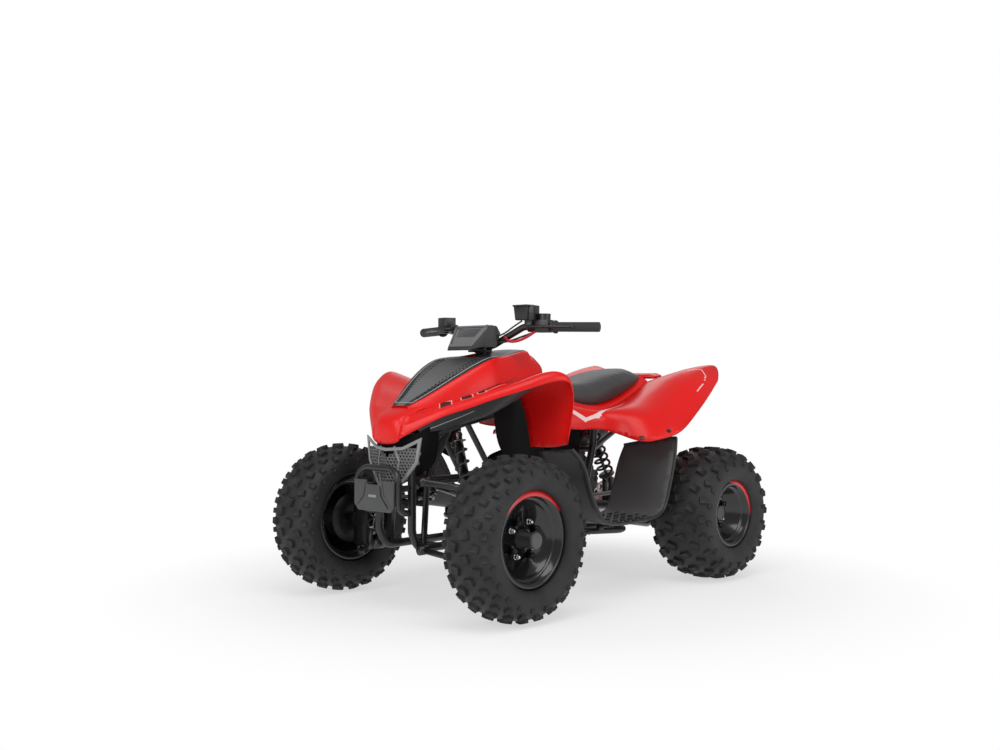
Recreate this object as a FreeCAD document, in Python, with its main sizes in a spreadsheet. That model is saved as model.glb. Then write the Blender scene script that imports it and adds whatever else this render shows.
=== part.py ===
import FreeCAD, Part
import Sketcher
import math
import os
from FreeCAD import Placement, Rotation, Vector

# A youth sport quad: X forward, Y to its left, Z up, millimetres.
# The origin is on the ground, midway between the tyres' ends, on the centre plane.

SIZES = [
    ("wheelbase", 1030, "front axle to rear axle"),
    ("body_half_width", 420, "half the width over the plastic panels"),
    ("body_height", 800, "ground to the hood's top, the height that the panels' shares follow"),
    ("skin", 4, "wall of the moulded panels"),
    ("gap", 0.3, "clearance between pieces that seat on each other"),
    ("pin_play", 0.05, "radial play of a pin in its bore"),
    ("overrun", 5, "how far a cutting tool runs past what it cuts"),

    ("front_tyre_radius", 242, "to the lugs' tips"),
    ("front_tyre_width", 180, "over the sidewalls"),
    ("front_tyre_middle", 393, "tyre's middle plane from the centre plane"),
    ("front_rim_radius", 142, "to the lip"),
    ("front_rim_width", 128, "over the lips"),
    ("front_disc_recess", 44, "wheel disc's face from the outer lip"),
    ("rear_tyre_radius", 229, "to the lugs' tips"),
    ("rear_tyre_width", 232, "over the sidewalls"),
    ("rear_tyre_middle", 375, "tyre's middle plane from the centre plane"),
    ("rear_rim_radius", 116, "to the lip"),
    ("rear_rim_width", 194, "over the lips"),
    ("rear_disc_recess", 84, "wheel disc's face from the outer lip"),
    ("rim_wall", 3.5, "sheet of the rims"),
    ("rim_flange", 14, "lip above the bead seat"),
    ("bead_width", 20, "width of a bead seat"),
    ("well_depth", 14, "well below the bead seat"),
    ("well_slope", 8, "run of the well's slope"),
    ("disc_sheet", 4, "wheel disc's thickness"),
    ("bolt_circle", 110, "pitch circle of the wheel studs"),
    ("stud_radius", 5, "wheel stud"),
    ("stud_hole_radius", 6, "stud hole in the wheel disc"),
    ("nut_radius", 9, "wheel nut over its corners"),
    ("nut_height", 22, "wheel nut"),
    ("disc_bore", 29, "centre hole of the wheel disc, radius"),
    ("lug_height", 13, "tread lugs above the carcass"),
    ("lug_length", 26, "tread lug along the tread"),
    ("lug_width", 30, "centre lug across the tread"),
    ("lug_offset", 21, "centre lug's middle from the tyre's middle plane"),
    ("shoulder_lug_width", 26, "shoulder lug across the tread"),
    ("shoulder_drop", 10, "shoulder below the crown"),
    ("sidewall_tuck", 10, "shoulder's edge in from the sidewall's widest place"),
    ("lug_root", 12, "depth of a lug's root inside the carcass"),

    ("hub_radius", 34, "hub barrel"),
    ("hub_flange_radius", 68, "hub flange that carries the studs"),
    ("hub_flange", 8, "hub flange's thickness"),
    ("hub_cap_radius", 23, "hub cap"),
    ("hub_cap_stand", 4, "hub cap past the rim's outer lip"),
    ("hub_length", 58, "front hub barrel inboard of its flange"),
    ("brake_disc_radius", 80, "front brake disc"),
    ("brake_disc_sheet", 4, "brake disc's thickness"),
    ("spindle_radius", 10, "front spindle"),
    ("spindle_length", 105, "front spindle from the upright"),

    ("kingpin_y", 296, "steering pivots from the centre plane"),
    ("upper_ball_z", 350, "upper arm's joint face"),
    ("lower_ball_z", 160, "lower arm's joint face"),
    ("ball_stud_radius", 7, "joint stud"),
    ("ball_stud_length", 20, "joint stud inside the upright"),
    ("ball_boss_radius", 14, "joint boss on an arm"),
    ("ball_boss_height", 34, "joint boss on an arm"),
    ("upright_thickness", 28, "steering upright across the car"),
    ("upright_width", 36, "steering upright along the car"),
    ("spindle_boss_radius", 30, "upright's boss behind the spindle"),
    ("steering_arm", 46, "steering arm, kingpin to tie rod"),
    ("steering_arm_z", 300, "tie rod's outer joint"),
    ("steering_arm_sheet", 10, "steering arm's thickness"),
    ("steering_arm_width", 22, "steering arm's width"),

    ("column_top_x", 235, "handlebar clamp"),
    ("column_top_z", 806, "handlebar clamp"),
    ("column_low_z", 370, "column's lower end, where the pitman plate sits"),
    ("column_radius", 12, "steering column"),
    ("pitman_sheet", 6, "pitman plate"),
    ("pitman_width", 26, "pitman plate"),
    ("tie_pin_radius", 4, "tie rod pins"),
    ("tie_eye_radius", 11, "tie rod's eyes, outside"),
    ("tie_eye_height", 16, "tie rod's eyes"),
    ("tie_eye_play", 2, "radial play of the inner eye, for the linkage's drift"),
    ("tie_eye_lift", 4.5, "inner eye's room along its pin, for the linkage's drift"),
    ("tie_rod_radius", 6, "tie rods"),
    ("tie_pin_head", 7, "head of a tie rod pin"),
    ("tie_pin_head_height", 4, "head of a tie rod pin"),

    ("frame_tube", 12.7, "main frame tube, radius"),
    ("brace_tube", 9.5, "brace tube, radius"),
    ("frame_bend", 45, "bend radius of the frame tubes"),
    ("arm_tube", 9.5, "suspension arm tube, radius"),
    ("arm_bush_radius", 14, "arm bush"),
    ("arm_bush_length", 34, "arm bush"),
    ("lower_arm_spread", 92, "lower arm's pivots from the axle"),
    ("lower_arm_pivot_z", 188, "lower arm's pivots"),
    ("upper_arm_spread", 90, "upper arm's pivots from the axle"),
    ("upper_arm_pivot_z", 392, "upper arm's pivots"),

    ("shock_top_y", 150, "front shock's upper eye"),
    ("shock_top_z", 530, "front shock's upper eye"),
    ("shock_low_y", 236, "front shock's lower eye"),
    ("shock_low_z", 205, "front shock's lower eye"),
    ("shock_body_radius", 15, "damper body"),
    ("shock_rod_radius", 6, "damper rod"),
    ("shock_eye_radius", 13, "damper eyes"),
    ("shock_eye_width", 22, "damper eyes"),
    ("spring_radius", 21, "spring coil's centre line"),
    ("spring_wire", 3.5, "spring wire, radius"),
    ("spring_turns", 8, "turns of a front spring"),
    ("spring_seat", 3, "thickness of a spring seat"),

    ("handlebar_radius", 11, "handlebar tube"),
    ("handlebar_half_width", 392, "handlebar's end"),
    ("handlebar_end_x", 132, "handlebar's end"),
    ("handlebar_end_z", 861, "handlebar's end"),
    ("grip_radius", 15.5, "grip"),
    ("grip_length", 150, "grip"),
    ("grip_flange_radius", 21, "grip's inner flange"),
    ("grip_flange", 6, "grip's inner flange"),

    ("axle_radius", 14, "rear axle"),
    ("axle_carrier_radius", 44, "bearing carrier"),
    ("axle_carrier_half", 62, "half length of the bearing carrier"),
    ("rear_hub_length", 50, "rear hub inboard of its flange"),
    ("sprocket_y", 98, "sprocket and chain from the centre plane"),
    ("sprocket_radius", 70, "chain's pitch radius on the rear sprocket"),
    ("drive_sprocket_radius", 27, "chain's pitch radius on the drive sprocket"),
    ("chain_width", 14, "chain over its plates"),
    ("chain_plate", 12, "chain's height"),
    ("sprocket_sheet", 5, "sprocket"),
    ("rear_disc_y", -90, "rear brake disc from the centre plane"),
    ("rear_disc_radius", 84, "rear brake disc"),

    ("column_foot", 44, "column below the pitman plate"),
    ("bearing_wall", 9, "column bearing"),
    ("bearing_length", 18, "column bearing"),
    ("hoop_bend", 28, "bend radius of the column's hoop"),
    ("peg_radius", 5, "stays that hold the panels"),
    ("pad_radius", 12, "pads under the foot floors"),
    ("clamp_height", 26, "handlebar clamp along the column"),
    ("clamp_length", 34, "handlebar clamp, front to back"),
    ("clamp_width", 52, "handlebar clamp"),
    ("bar_straight", 40, "straight middle of the handlebar, half"),
    ("bar_rise_x", 205, "handlebar's upper bend"),
    ("bar_rise_y", 150, "handlebar's upper bend"),
    ("bar_rise_z", 866, "handlebar's upper bend"),
    ("bar_bend", 40, "handlebar's bend radius"),
    ("grip_end", 5, "grip past the handlebar's end"),
    ("perch_place", 224, "brake perch from the bar's end"),
    ("perch_width", 22, "brake perch along the bar"),
    ("perch_radius", 17, "brake perch round the bar"),
    ("lever_stand", 38, "lever's pivot ahead of the bar"),
    ("lever_length", 150, "brake lever"),
    ("lever_curl", 8, "brake lever's curl"),
    ("lever_radius", 4.5, "brake lever"),
    ("lever_knob_radius", 7, "ball at a brake lever's end"),
    ("reservoir_lift", 44, "reservoir above the bar"),
    ("reservoir_length", 45, "reservoir, front to back"),
    ("reservoir_width", 46, "reservoir along the bar"),
    ("reservoir_height", 46, "reservoir"),
    ("controls_reach", 120, "half length of the bar's bore through the controls"),
    ("pod_place", 182, "switch pod from the bar's end"),
    ("pod_lift", 2, "switch pod above the bar"),
    ("pod_length", 44, "switch pod, front to back"),
    ("pod_width", 46, "switch pod along the bar"),
    ("pod_height", 40, "switch pod"),
    ("dial_radius", 20, "switch on the pod"),
    ("dial_height", 20, "switch on the pod"),
    ("thumb_drop", 26, "thumb lever's drop from the bar"),
    ("thumb_reach", 42, "thumb lever along the bar"),

    ("ear_sheet", 5, "bracket ears"),
    ("ear_width", 28, "bracket ears"),
    ("ear_drop", 58, "damper ears below the eye's top"),
    ("ear_plate_length", 84, "plate between the lower arm's tubes"),
    ("seat_stand", 4, "spring seat from the damper's eye"),
    ("rear_spring_radius", 25, "rear spring coil's centre line"),
    ("rear_spring_wire", 4.5, "rear spring wire, radius"),
    ("rear_spring_turns", 6, "turns of the rear spring"),

    ("swing_pivot_radius", 18, "swingarm's pivot tube"),
    ("swing_arm_y", 44, "swingarm's arms from the centre plane"),
    ("swing_tube_radius", 16, "swingarm's arms"),
    ("swing_bridge_share", 0.74, "swingarm's bridge, as a share of the arm's length"),
    ("rear_cap_stand", 16, "rear hub cap past the disc face"),
    ("rear_disc_boss", 16, "boss of the disc and sprocket along the axle"),
    ("rear_disc_boss_wall", 12, "boss of the disc and sprocket"),
    ("rear_disc_hole", 5, "cooling hole of a brake disc"),
    ("roller_radius", 4, "chain roller"),
    ("tooth_height", 6, "sprocket tooth"),
    ("chain_roof", 2.5, "chain's outer web"),
    ("chain_slot_play", 2.5, "room each side of a sprocket inside the chain"),

    ("crankcase_width", 120, "crankcase across the car"),
    ("cover_radius", 72, "round side covers"),
    ("cover_depth", 26, "round side covers"),
    ("cylinder_radius", 40, "cylinder barrel"),
    ("fin_sheet", 4, "cooling fin"),
    ("fin_width", 112, "cooling fin"),
    ("fin_height", 108, "cooling fin"),
    ("head_length", 40, "cylinder head"),
    ("head_width", 96, "cylinder head"),
    ("head_height", 92, "cylinder head"),
    ("exhaust_radius", 13, "exhaust pipe"),
    ("muffler_radius", 46, "muffler"),
    ("intake_radius", 16, "intake pipe"),
    ("carb_length", 56, "carburettor"),
    ("carb_width", 50, "carburettor"),
    ("carb_height", 66, "carburettor"),
    ("airbox_length", 150, "airbox"),
    ("airbox_width", 120, "airbox"),
    ("airbox_height", 90, "airbox"),

    ("seat_crown", 4, "seat's crown over its shoulders"),
    ("bumper_plate_width", 176, "bumper plate"),
    ("bumper_plate_height", 92, "bumper plate"),
    ("bumper_plate_sheet", 8, "bumper plate"),
    ("bumper_chamfer", 18, "bumper plate's cut corners"),
    ("bumper_notch_width", 76, "notch in the bumper plate"),
    ("bumper_notch_depth", 26, "notch in the bumper plate"),
    ("grille_depth", 5, "grille frame"),
    ("grille_rim", 8, "grille frame's border"),
    ("deck_hole_radius", 14, "hole in the tail's deck over the flag bracket"),
    ("lamp_depth", 16, "tail lamp, front to back"),
    ("lamp_width", 110, "tail lamp"),
    ("lamp_height", 16, "tail lamp"),
    ("neck_width", 26, "neck under the reservoir"),
    ("throttle_lift", 16, "throttle box above the bar"),
    ("throttle_height", 54, "throttle box"),
    ("throttle_place", 173, "throttle box from the bar's end"),
    ("lever_root_radius", 7, "brake lever at its pivot"),
    ("grille_cell", 22, "spacing of the grille's bars"),
    ("grille_bar", 5, "grille bar"),
    ("pod_stay_length", 64, "stay under the instrument pod"),
    ("pod_stay_width", 28, "stay under the instrument pod"),
    ("pod_stay_height", 14, "stay under the instrument pod"),
    ("column_hole_length", 100, "hood's opening round the column"),
    ("column_hole_width", 70, "hood's opening round the column"),
    ("flag_plate_length", 44, "flag bracket"),
    ("flag_plate_width", 30, "flag bracket"),
    ("flag_hole_radius", 5.5, "flag bracket's hole"),
]

document = FreeCAD.newDocument("QuadBike")
sheet = document.addObject("Spreadsheet::Sheet", "Sizes")


class Size(float):
    """A length with the text of the sheet expression that gives it."""

    def __new__(cls, value, text):
        size = float.__new__(cls, value)
        size.text = text
        return size

    @staticmethod
    def spelled(value):
        return value.text if isinstance(value, Size) else repr(float(value))

    def joined(self, other, result, sign, turned=False):
        parts = [self.text, Size.spelled(other)]
        if turned:
            parts.reverse()
        return Size(result, f"({parts[0]} {sign} {parts[1]})")

    def __add__(self, other):
        return self.joined(other, float(self) + float(other), "+")

    def __radd__(self, other):
        return self.joined(other, float(other) + float(self), "+", True)

    def __sub__(self, other):
        return self.joined(other, float(self) - float(other), "-")

    def __rsub__(self, other):
        return self.joined(other, float(other) - float(self), "-", True)

    def __mul__(self, other):
        return self.joined(other, float(self) * float(other), "*")

    def __rmul__(self, other):
        return self.joined(other, float(other) * float(self), "*", True)

    def __truediv__(self, other):
        return self.joined(other, float(self) / float(other), "/")

    def __neg__(self):
        return Size(-float(self), f"(0 - {self.text})")


class Sheet:
    """The sheet's cells by name, each as a Size."""

    def __init__(self, rows):
        for row, (name, value, meaning) in enumerate(rows, 1):
            sheet.set(f"A{row}", name)
            sheet.set(f"B{row}", str(value))
            sheet.set(f"C{row}", meaning)
            sheet.setAlias(f"B{row}", name)
        document.recompute()

    def __getattr__(self, name):
        return Size(sheet.get(name), f"Sizes.{name}")


s = Sheet(SIZES)
LEFT = 1
RIGHT = -1
HALF = 0.5
FULL_TURN = 360
SIXTH_TURN = 60
SIDES = 6
CENTRE_POINT = 3
UP = Vector(0, 0, 1)
ALONG_X = Vector(1, 0, 0)
ALONG_Y = Vector(0, 1, 0)

front_axle_x = (s.wheelbase + s.rear_tyre_radius - s.front_tyre_radius) / 2
rear_axle_x = front_axle_x - s.wheelbase


def at(place):
    """A point from its shares of the wheelbase, the body's half width and the body's height."""
    x, y, z = place
    return Vector(x * s.wheelbase, y * s.body_half_width, z * s.body_height)


def bind(thing, **values):
    """Sets properties, and ties each to the sheet where its value comes from there."""
    for name, value in values.items():
        setattr(thing, name, float(value))
        if isinstance(value, Size):
            thing.setExpression(name, value.text)
    return thing


def put(thing, x=0, y=0, z=0, axis=UP, angle=0):
    """Places an object, its place tied to the sheet."""
    thing.Placement = Placement(Vector(x, y, z), Rotation(axis, angle))
    for letter, value in zip("xyz", (x, y, z)):
        if isinstance(value, Size):
            thing.setExpression(f".Placement.Base.{letter}", value.text)
    return thing


def turn_to(direction):
    return Rotation(UP, direction)


NODES = []


def node(thing, name):
    """Names a finished sub-part, one file each."""
    thing.Label = name
    NODES.append(thing)
    return thing


def body(name):
    return node(document.addObject("PartDesign::Body", name), name)


def plane(thing, role):
    return [f for f in thing.Origin.OriginFeatures if f.Role == role][0]


def sketch_on(thing, name, role, lift=0):
    sketch = thing.newObject("Sketcher::SketchObject", name)
    sketch.AttachmentSupport = [(plane(thing, role), "")]
    sketch.MapMode = "FlatFace"
    sketch.AttachmentOffset = Placement(Vector(0, 0, lift), Rotation())
    if isinstance(lift, Size):
        sketch.setExpression(".AttachmentOffset.Base.z", lift.text)
    return sketch


def turned_sketch(thing, name, lift, turn):
    """A sketch on the XY plane that is lifted and then turned about the Y axis."""
    sketch = sketch_on(thing, name, "XY_Plane")
    angle = math.radians(turn)
    x = lift * math.sin(angle)
    z = lift * math.cos(angle)
    sketch.AttachmentOffset = Placement(Vector(x, 0, z), Rotation(ALONG_Y, turn))
    sketch.setExpression(".AttachmentOffset.Base.x", x.text)
    sketch.setExpression(".AttachmentOffset.Base.z", z.text)
    return sketch


def pin_point(sketch, edge, end, x, y):
    """Holds one end of a sketch edge at a distance from the sketch's origin."""
    for kind, value, line in (("DistanceX", x, -2), ("DistanceY", y, -1)):
        if float(value) == 0:
            sketch.addConstraint(Sketcher.Constraint("PointOnObject", edge, end, line))
        else:
            number = sketch.addConstraint(Sketcher.Constraint(kind, -1, 1, edge, end, float(value)))
            if isinstance(value, Size):
                sketch.setExpression(f"Constraints[{number}]", value.text)


def outline(sketch, points):
    """A closed outline of straight edges, every corner held by the sheet."""
    corners = [Vector(x, y, 0) for x, y in points]
    first = sketch.GeometryCount
    count = len(corners)
    for i in range(count):
        sketch.addGeometry(Part.LineSegment(corners[i], corners[(i + 1) % count]), False)
    for i in range(count):
        sketch.addConstraint(
            Sketcher.Constraint("Coincident", first + i, 2, first + (i + 1) % count, 1))
    for i, (x, y) in enumerate(points):
        pin_point(sketch, first + i, 1, x, y)
    return sketch


def ring(sketch, x, y, radius):
    """A circle, its centre and radius held by the sheet."""
    edge = sketch.addGeometry(Part.Circle(Vector(x, y, 0), UP, radius), False)
    pin_point(sketch, edge, CENTRE_POINT, x, y)
    number = sketch.addConstraint(Sketcher.Constraint("Radius", edge, float(radius)))
    if isinstance(radius, Size):
        sketch.setExpression(f"Constraints[{number}]", radius.text)
    return sketch


def feature(thing, kind, name, sketch, **values):
    made = thing.newObject(f"PartDesign::{kind}", name)
    made.Profile = sketch
    sketch.Visibility = False
    return bind(made, **values)


def revolve(thing, name, points):
    """A round solid about the body's Y axis from (along Y, radius) points."""
    sketch = outline(sketch_on(thing, name + "_outline", "YZ_Plane"), points)
    made = thing.newObject("PartDesign::Revolution", name)
    made.Profile = sketch
    made.ReferenceAxis = (sketch, ["H_Axis"])
    made.Angle = FULL_TURN
    return made


def pattern(thing, name, originals, count):
    """Copies features round the body's Y axis."""
    made = thing.newObject("PartDesign::PolarPattern", name)
    made.Originals = originals
    made.Axis = (plane(thing, "Y_Axis"), [""])
    made.Angle = FULL_TURN
    made.Occurrences = count
    thing.Tip = made
    return made


def mirrored(name, source):
    thing = node(document.addObject("Part::Mirroring", name), name)
    thing.Source = source
    thing.Base = Vector(0, 0, 0)
    thing.Normal = ALONG_Y
    return thing


def solid(name, shape):
    """A sub-part whose form comes from curves in space."""
    thing = node(document.addObject("Part::Feature", name), name)
    thing.Shape = shape
    thing.Placement = shape.Placement
    return thing


def pair(name, shape):
    """A left piece and its mirror image, which share a file."""
    return solid(name, Part.makeCompound([shape, flip(shape)]))


def primitive(kind, name, **values):
    """A Part primitive, its sizes tied to the sheet."""
    return bind(document.addObject("Part::" + kind, name), **values)


def cut_away(name, base, tool):
    thing = node(document.addObject("Part::Cut", name), name)
    thing.Base = base
    thing.Tool = tool
    return thing


def rod(start, end, radius):
    """A round bar between two points."""
    run = end - start
    return Part.makeCylinder(radius, run.Length, start, run)


def ball(centre, radius):
    return Part.makeSphere(radius, centre)


def block(centre, length, width, height, rotation=Rotation()):
    """A box by its centre."""
    made = Part.makeBox(length, width, height, Vector(-length / 2, -width / 2, -height / 2))
    made.Placement = Placement(centre, rotation)
    return made


def bent_path(points, bend):
    """Straight runs joined by tangent arcs, each arc as large as the bend or its runs allow."""
    edges = []
    start = points[0]
    for before, corner, after in zip(points, points[1:], points[2:]):
        into = (corner - before).normalize()
        out = (after - corner).normalize()
        half = into.getAngle(out) / 2
        if half < HALF_TURN_LEAST:
            continue
        shorter = min((corner - before).Length, (after - corner).Length)
        back = min(bend * math.tan(half), shorter * RUN_SHARE)
        radius = back / math.tan(half)
        first = corner - into * back
        last = corner + out * back
        inward = (out - into).normalize()
        middle = corner + inward * (radius / math.cos(half) - radius)
        if (first - start).Length > SHORTEST_EDGE:
            edges.append(Part.LineSegment(start, first).toShape())
        edges.append(Part.Arc(first, middle, last).toShape())
        start = last
    edges.append(Part.LineSegment(start, points[-1]).toShape())
    return Part.Wire(edges)


HALF_TURN_LEAST = math.radians(1)
RUN_SHARE = 0.47
SHORTEST_EDGE = float(s.gap)


def tube(points, radius, bend):
    """A bent round bar along points."""
    path = bent_path(points, bend)
    start = points[0]
    away = points[1] - points[0]
    profile = Part.Wire([Part.Circle(start, away, radius).toShape()])
    return path.makePipeShell([profile], True, False)


def joined(shapes):
    whole = shapes[0]
    if len(shapes) > 1:
        whole = shapes[0].multiFuse(shapes[1:])
    return whole.removeSplitter()


def flipped(point):
    return Vector(point.x, -point.y, point.z)


def flip(shape):
    """The shape's mirror image across the centre plane."""
    return shape.mirror(Vector(0, 0, 0), ALONG_Y)


def knots_of(count):
    """Knots and their multiplicities for a clamped curve of the surface's degree."""
    spans = count - DEGREE
    return list(range(spans + 1)), [DEGREE + 1] + [1] * (spans - 1) + [DEGREE + 1]


DEGREE = 2


def surface_of(rows):
    """A smooth face that rows of points pull into shape; it meets the four corner points."""
    along, along_counts = knots_of(len(rows))
    across, across_counts = knots_of(len(rows[0]))
    surface = Part.BSplineSurface()
    surface.buildFromPolesMultsKnots(rows, along_counts, across_counts, along, across,
                                     False, False, DEGREE, DEGREE)
    return surface.toShape()


def rim_of(outer, inner):
    """The narrow face along one edge of a curved wall."""
    knots, counts = knots_of(len(outer))
    surface = Part.BSplineSurface()
    surface.buildFromPolesMultsKnots([outer, inner], [2, 2], counts, [0, 1], knots,
                                     False, False, 1, DEGREE)
    return surface.toShape()


def skin_of(rows, thickness):
    """A curved wall of even thickness, whose outer face follows rows of points."""
    count = len(rows)
    width = len(rows[0])
    inner = []
    for i in range(count):
        line = []
        for j in range(width):
            along = rows[min(i + 1, count - 1)][j] - rows[max(i - 1, 0)][j]
            across = rows[i][min(j + 1, width - 1)] - rows[i][max(j - 1, 0)]
            line.append(rows[i][j] + along.cross(across).normalize() * thickness)
        inner.append(line)
    faces = [surface_of(rows), surface_of(inner)]
    faces += [rim_of(rows[0], inner[0]), rim_of(rows[-1], inner[-1])]
    for column in (0, -1):
        faces.append(rim_of([row[column] for row in rows], [row[column] for row in inner]))
    shell = Part.makeShell(faces)
    shell.sewShape()
    made = Part.Solid(shell)
    if made.Volume < 0:
        made.reverse()
    return made


def rim(name, radius, width, recess, axle_x, middle):
    """A steel wheel: lips, bead seats, drop centre and a dished disc with four stud holes."""
    thing = body(name)
    half = width / 2
    seat = radius - s.rim_flange
    well = seat - s.well_depth
    inside = s.rim_wall
    well_half = half - s.bead_width - s.well_slope
    face = half - recess
    profile = [
        (half, radius), (half - inside, radius), (half - inside, seat),
        (half - s.bead_width, seat), (well_half, well), (-well_half, well),
        (-half + s.bead_width, seat), (-half + inside, seat), (-half + inside, radius),
        (-half, radius), (-half, seat - inside), (-half + s.bead_width, seat - inside),
        (-well_half - inside / 2, well - inside), (face - s.disc_sheet, well - inside),
        (face - s.disc_sheet, s.disc_bore), (face, s.disc_bore), (face, well - inside),
        (well_half + inside / 2, well - inside), (half - s.bead_width, seat - inside),
        (half, seat - inside),
    ]
    revolve(thing, name + "_turned", profile)
    holes = sketch_on(thing, name + "_stud_holes", "XZ_Plane")
    ring(holes, s.bolt_circle / 2, 0, s.stud_hole_radius)
    document.recompute()
    cut = feature(thing, "Pocket", name + "_stud_hole", holes, Length=width)
    cut.Midplane = True
    document.recompute()
    pattern(thing, name + "_studs", [cut], STUDS)
    thing.Placement = Placement(Vector(), Rotation(ALONG_Y, STUD_TURN))
    return put(thing, axle_x, middle, height_of(name), ALONG_Y, STUD_TURN)


def height_of(name):
    """The axle's height: the wheels stand on their lugs."""
    return s.front_tyre_radius if "front" in name else s.rear_tyre_radius


STUDS = 4
STUD_TURN = 30
SIDEWALL_HIGH_SHARE = 0.3
SIDEWALL_LOW_SHARE = 0.35
BEAD_SHARE = 0.08
LUG_TURN_SHARES = (0, 0.5, 0.25, 0.75)


def tyre(name, radius, width, rim_radius, rim_width, axle_x, middle, count):
    """A tyre: a carcass with two rows of centre lugs and a row of lugs on each shoulder."""
    thing = body(name)
    crown = radius - s.lug_height
    shoulder = crown - s.shoulder_drop
    half = width / 2
    bead = rim_width / 2 - s.rim_wall - s.gap
    seat = rim_radius - s.rim_flange + s.gap
    lip = rim_radius + s.gap
    wall = shoulder - lip
    edge = half - s.sidewall_tuck
    well_edge = rim_width / 2 - s.bead_width
    one_side = [
        (edge, shoulder), (half, shoulder - wall * SIDEWALL_HIGH_SHARE),
        (half, lip + wall * SIDEWALL_LOW_SHARE),
        (rim_width / 2 + s.gap, lip + wall * BEAD_SHARE), (bead, lip), (bead, seat), (well_edge, seat),
    ]
    other_side = [(-across, up) for across, up in reversed(one_side)]
    profile = other_side + [(-edge / 2, crown), (edge / 2, crown)] + one_side
    revolve(thing, name + "_carcass", profile)
    rows = []
    lug_rows = [
        ("centre_left", s.lug_offset, s.lug_width, crown),
        ("centre_right", -s.lug_offset, s.lug_width, crown),
        ("shoulder_left", edge - s.shoulder_lug_width / 2, s.shoulder_lug_width, shoulder),
        ("shoulder_right", s.shoulder_lug_width / 2 - edge, s.shoulder_lug_width, shoulder),
    ]
    for (row, offset, across, base), turn in zip(lug_rows, LUG_TURN_SHARES):
        lug = turned_sketch(thing, f"{name}_{row}", base - s.lug_root,
                            FULL_TURN * turn / count)
        long = s.lug_length / 2
        wide = across / 2
        outline(lug, [(-long, offset - wide), (long, offset - wide),
                      (long, offset + wide), (-long, offset + wide)])
        document.recompute()
        tall = s.lug_root + (radius - base)
        rows.append(feature(thing, "Pad", f"{name}_{row}_lug", lug, Length=tall))
        document.recompute()
    pattern(thing, name + "_tread", rows, count)
    return put(thing, axle_x, middle, height_of(name), ALONG_Y, 0)


FRONT_LUGS = 22
REAR_LUGS = 20


def wheels():
    front = (s.front_rim_radius, s.front_rim_width)
    rear = (s.rear_rim_radius, s.rear_rim_width)
    left = rim("front_rim_left", *front, s.front_disc_recess, front_axle_x, s.front_tyre_middle)
    mirrored("front_rim_right", left)
    left = rim("rear_rim_left", *rear, s.rear_disc_recess, rear_axle_x, s.rear_tyre_middle)
    mirrored("rear_rim_right", left)
    left = tyre("front_tyre_left", s.front_tyre_radius, s.front_tyre_width, *front,
                front_axle_x, s.front_tyre_middle, FRONT_LUGS)
    mirrored("front_tyre_right", left)
    left = tyre("rear_tyre_left", s.rear_tyre_radius, s.rear_tyre_width, *rear,
                rear_axle_x, s.rear_tyre_middle, REAR_LUGS)
    mirrored("rear_tyre_right", left)


def wheel_studs(face_y, axle_x, axle_z):
    """Four studs with their nuts, from the hub's flange out through the wheel disc."""
    shapes = []
    for i in range(STUDS):
        turn = math.radians(STUD_TURN + FULL_TURN / STUDS * i)
        x = axle_x + s.bolt_circle / 2 * math.cos(turn)
        z = axle_z - s.bolt_circle / 2 * math.sin(turn)
        start = Vector(x, face_y - s.disc_sheet - s.hub_flange / 2, z)
        shapes.append(rod(start, Vector(x, face_y + s.nut_height, z), s.stud_radius))
        corners = []
        for corner in range(SIDES + 1):
            angle = math.radians(SIXTH_TURN * corner)
            corners.append(Vector(x + s.nut_radius * math.cos(angle), face_y,
                                  z + s.nut_radius * math.sin(angle)))
        shapes.append(Part.Face(Part.makePolygon(corners)).extrude(ALONG_Y * s.nut_height))
    return shapes


def front_hub():
    """The front hub, brake disc and cap that turn on the spindle."""
    x = front_axle_x
    z = s.front_tyre_radius
    lip = s.front_tyre_middle + s.front_rim_width / 2
    face = lip - s.front_disc_recess
    back = face - s.disc_sheet
    inner = back - s.hub_flange - s.hub_length
    cap = lip + s.hub_cap_stand
    snout = s.disc_bore - s.gap
    thing = joined([
        rod(Vector(x, inner, z), Vector(x, back, z), s.hub_radius),
        rod(Vector(x, back - s.hub_flange, z), Vector(x, back, z), s.hub_flange_radius),
        rod(Vector(x, back - s.hub_flange, z), Vector(x, face + s.hub_flange, z), snout),
        rod(Vector(x, back, z), Vector(x, cap, z), s.hub_cap_radius),
        rod(Vector(x, inner, z), Vector(x, inner + s.brake_disc_sheet, z), s.brake_disc_radius),
    ] + wheel_studs(face, x, z))
    bore = rod(Vector(x, inner - s.overrun, z), Vector(x, spindle_end() + s.gap, z),
               s.spindle_radius + s.pin_play)
    made = thing.cut(bore)
    solid("front_hub_left", made)
    solid("front_hub_right", flip(made))


def upright_outer():
    return s.kingpin_y + s.upright_thickness / 2


def spindle_end():
    return upright_outer() + s.spindle_length


def steering():
    """The column's axis, and where the pitman plate's pin crosses it."""
    low = Vector(column_low_x(), 0, s.column_low_z)
    top = Vector(s.column_top_x, 0, s.column_top_z)
    axis = (top - low).normalize()
    back = axis.cross(ALONG_Y).normalize()
    return low, top, axis, back


def column_low_x():
    """Set so that the pitman's pin stands level with the steering arms' pins."""
    target = front_axle_x - s.steering_arm
    x = target + s.steering_arm
    for step in range(SETTLING):
        lean = math.atan2(x - s.column_top_x, s.column_top_z - s.column_low_z)
        x = target + s.steering_arm * math.cos(lean)
    return x


SETTLING = 12


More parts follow.
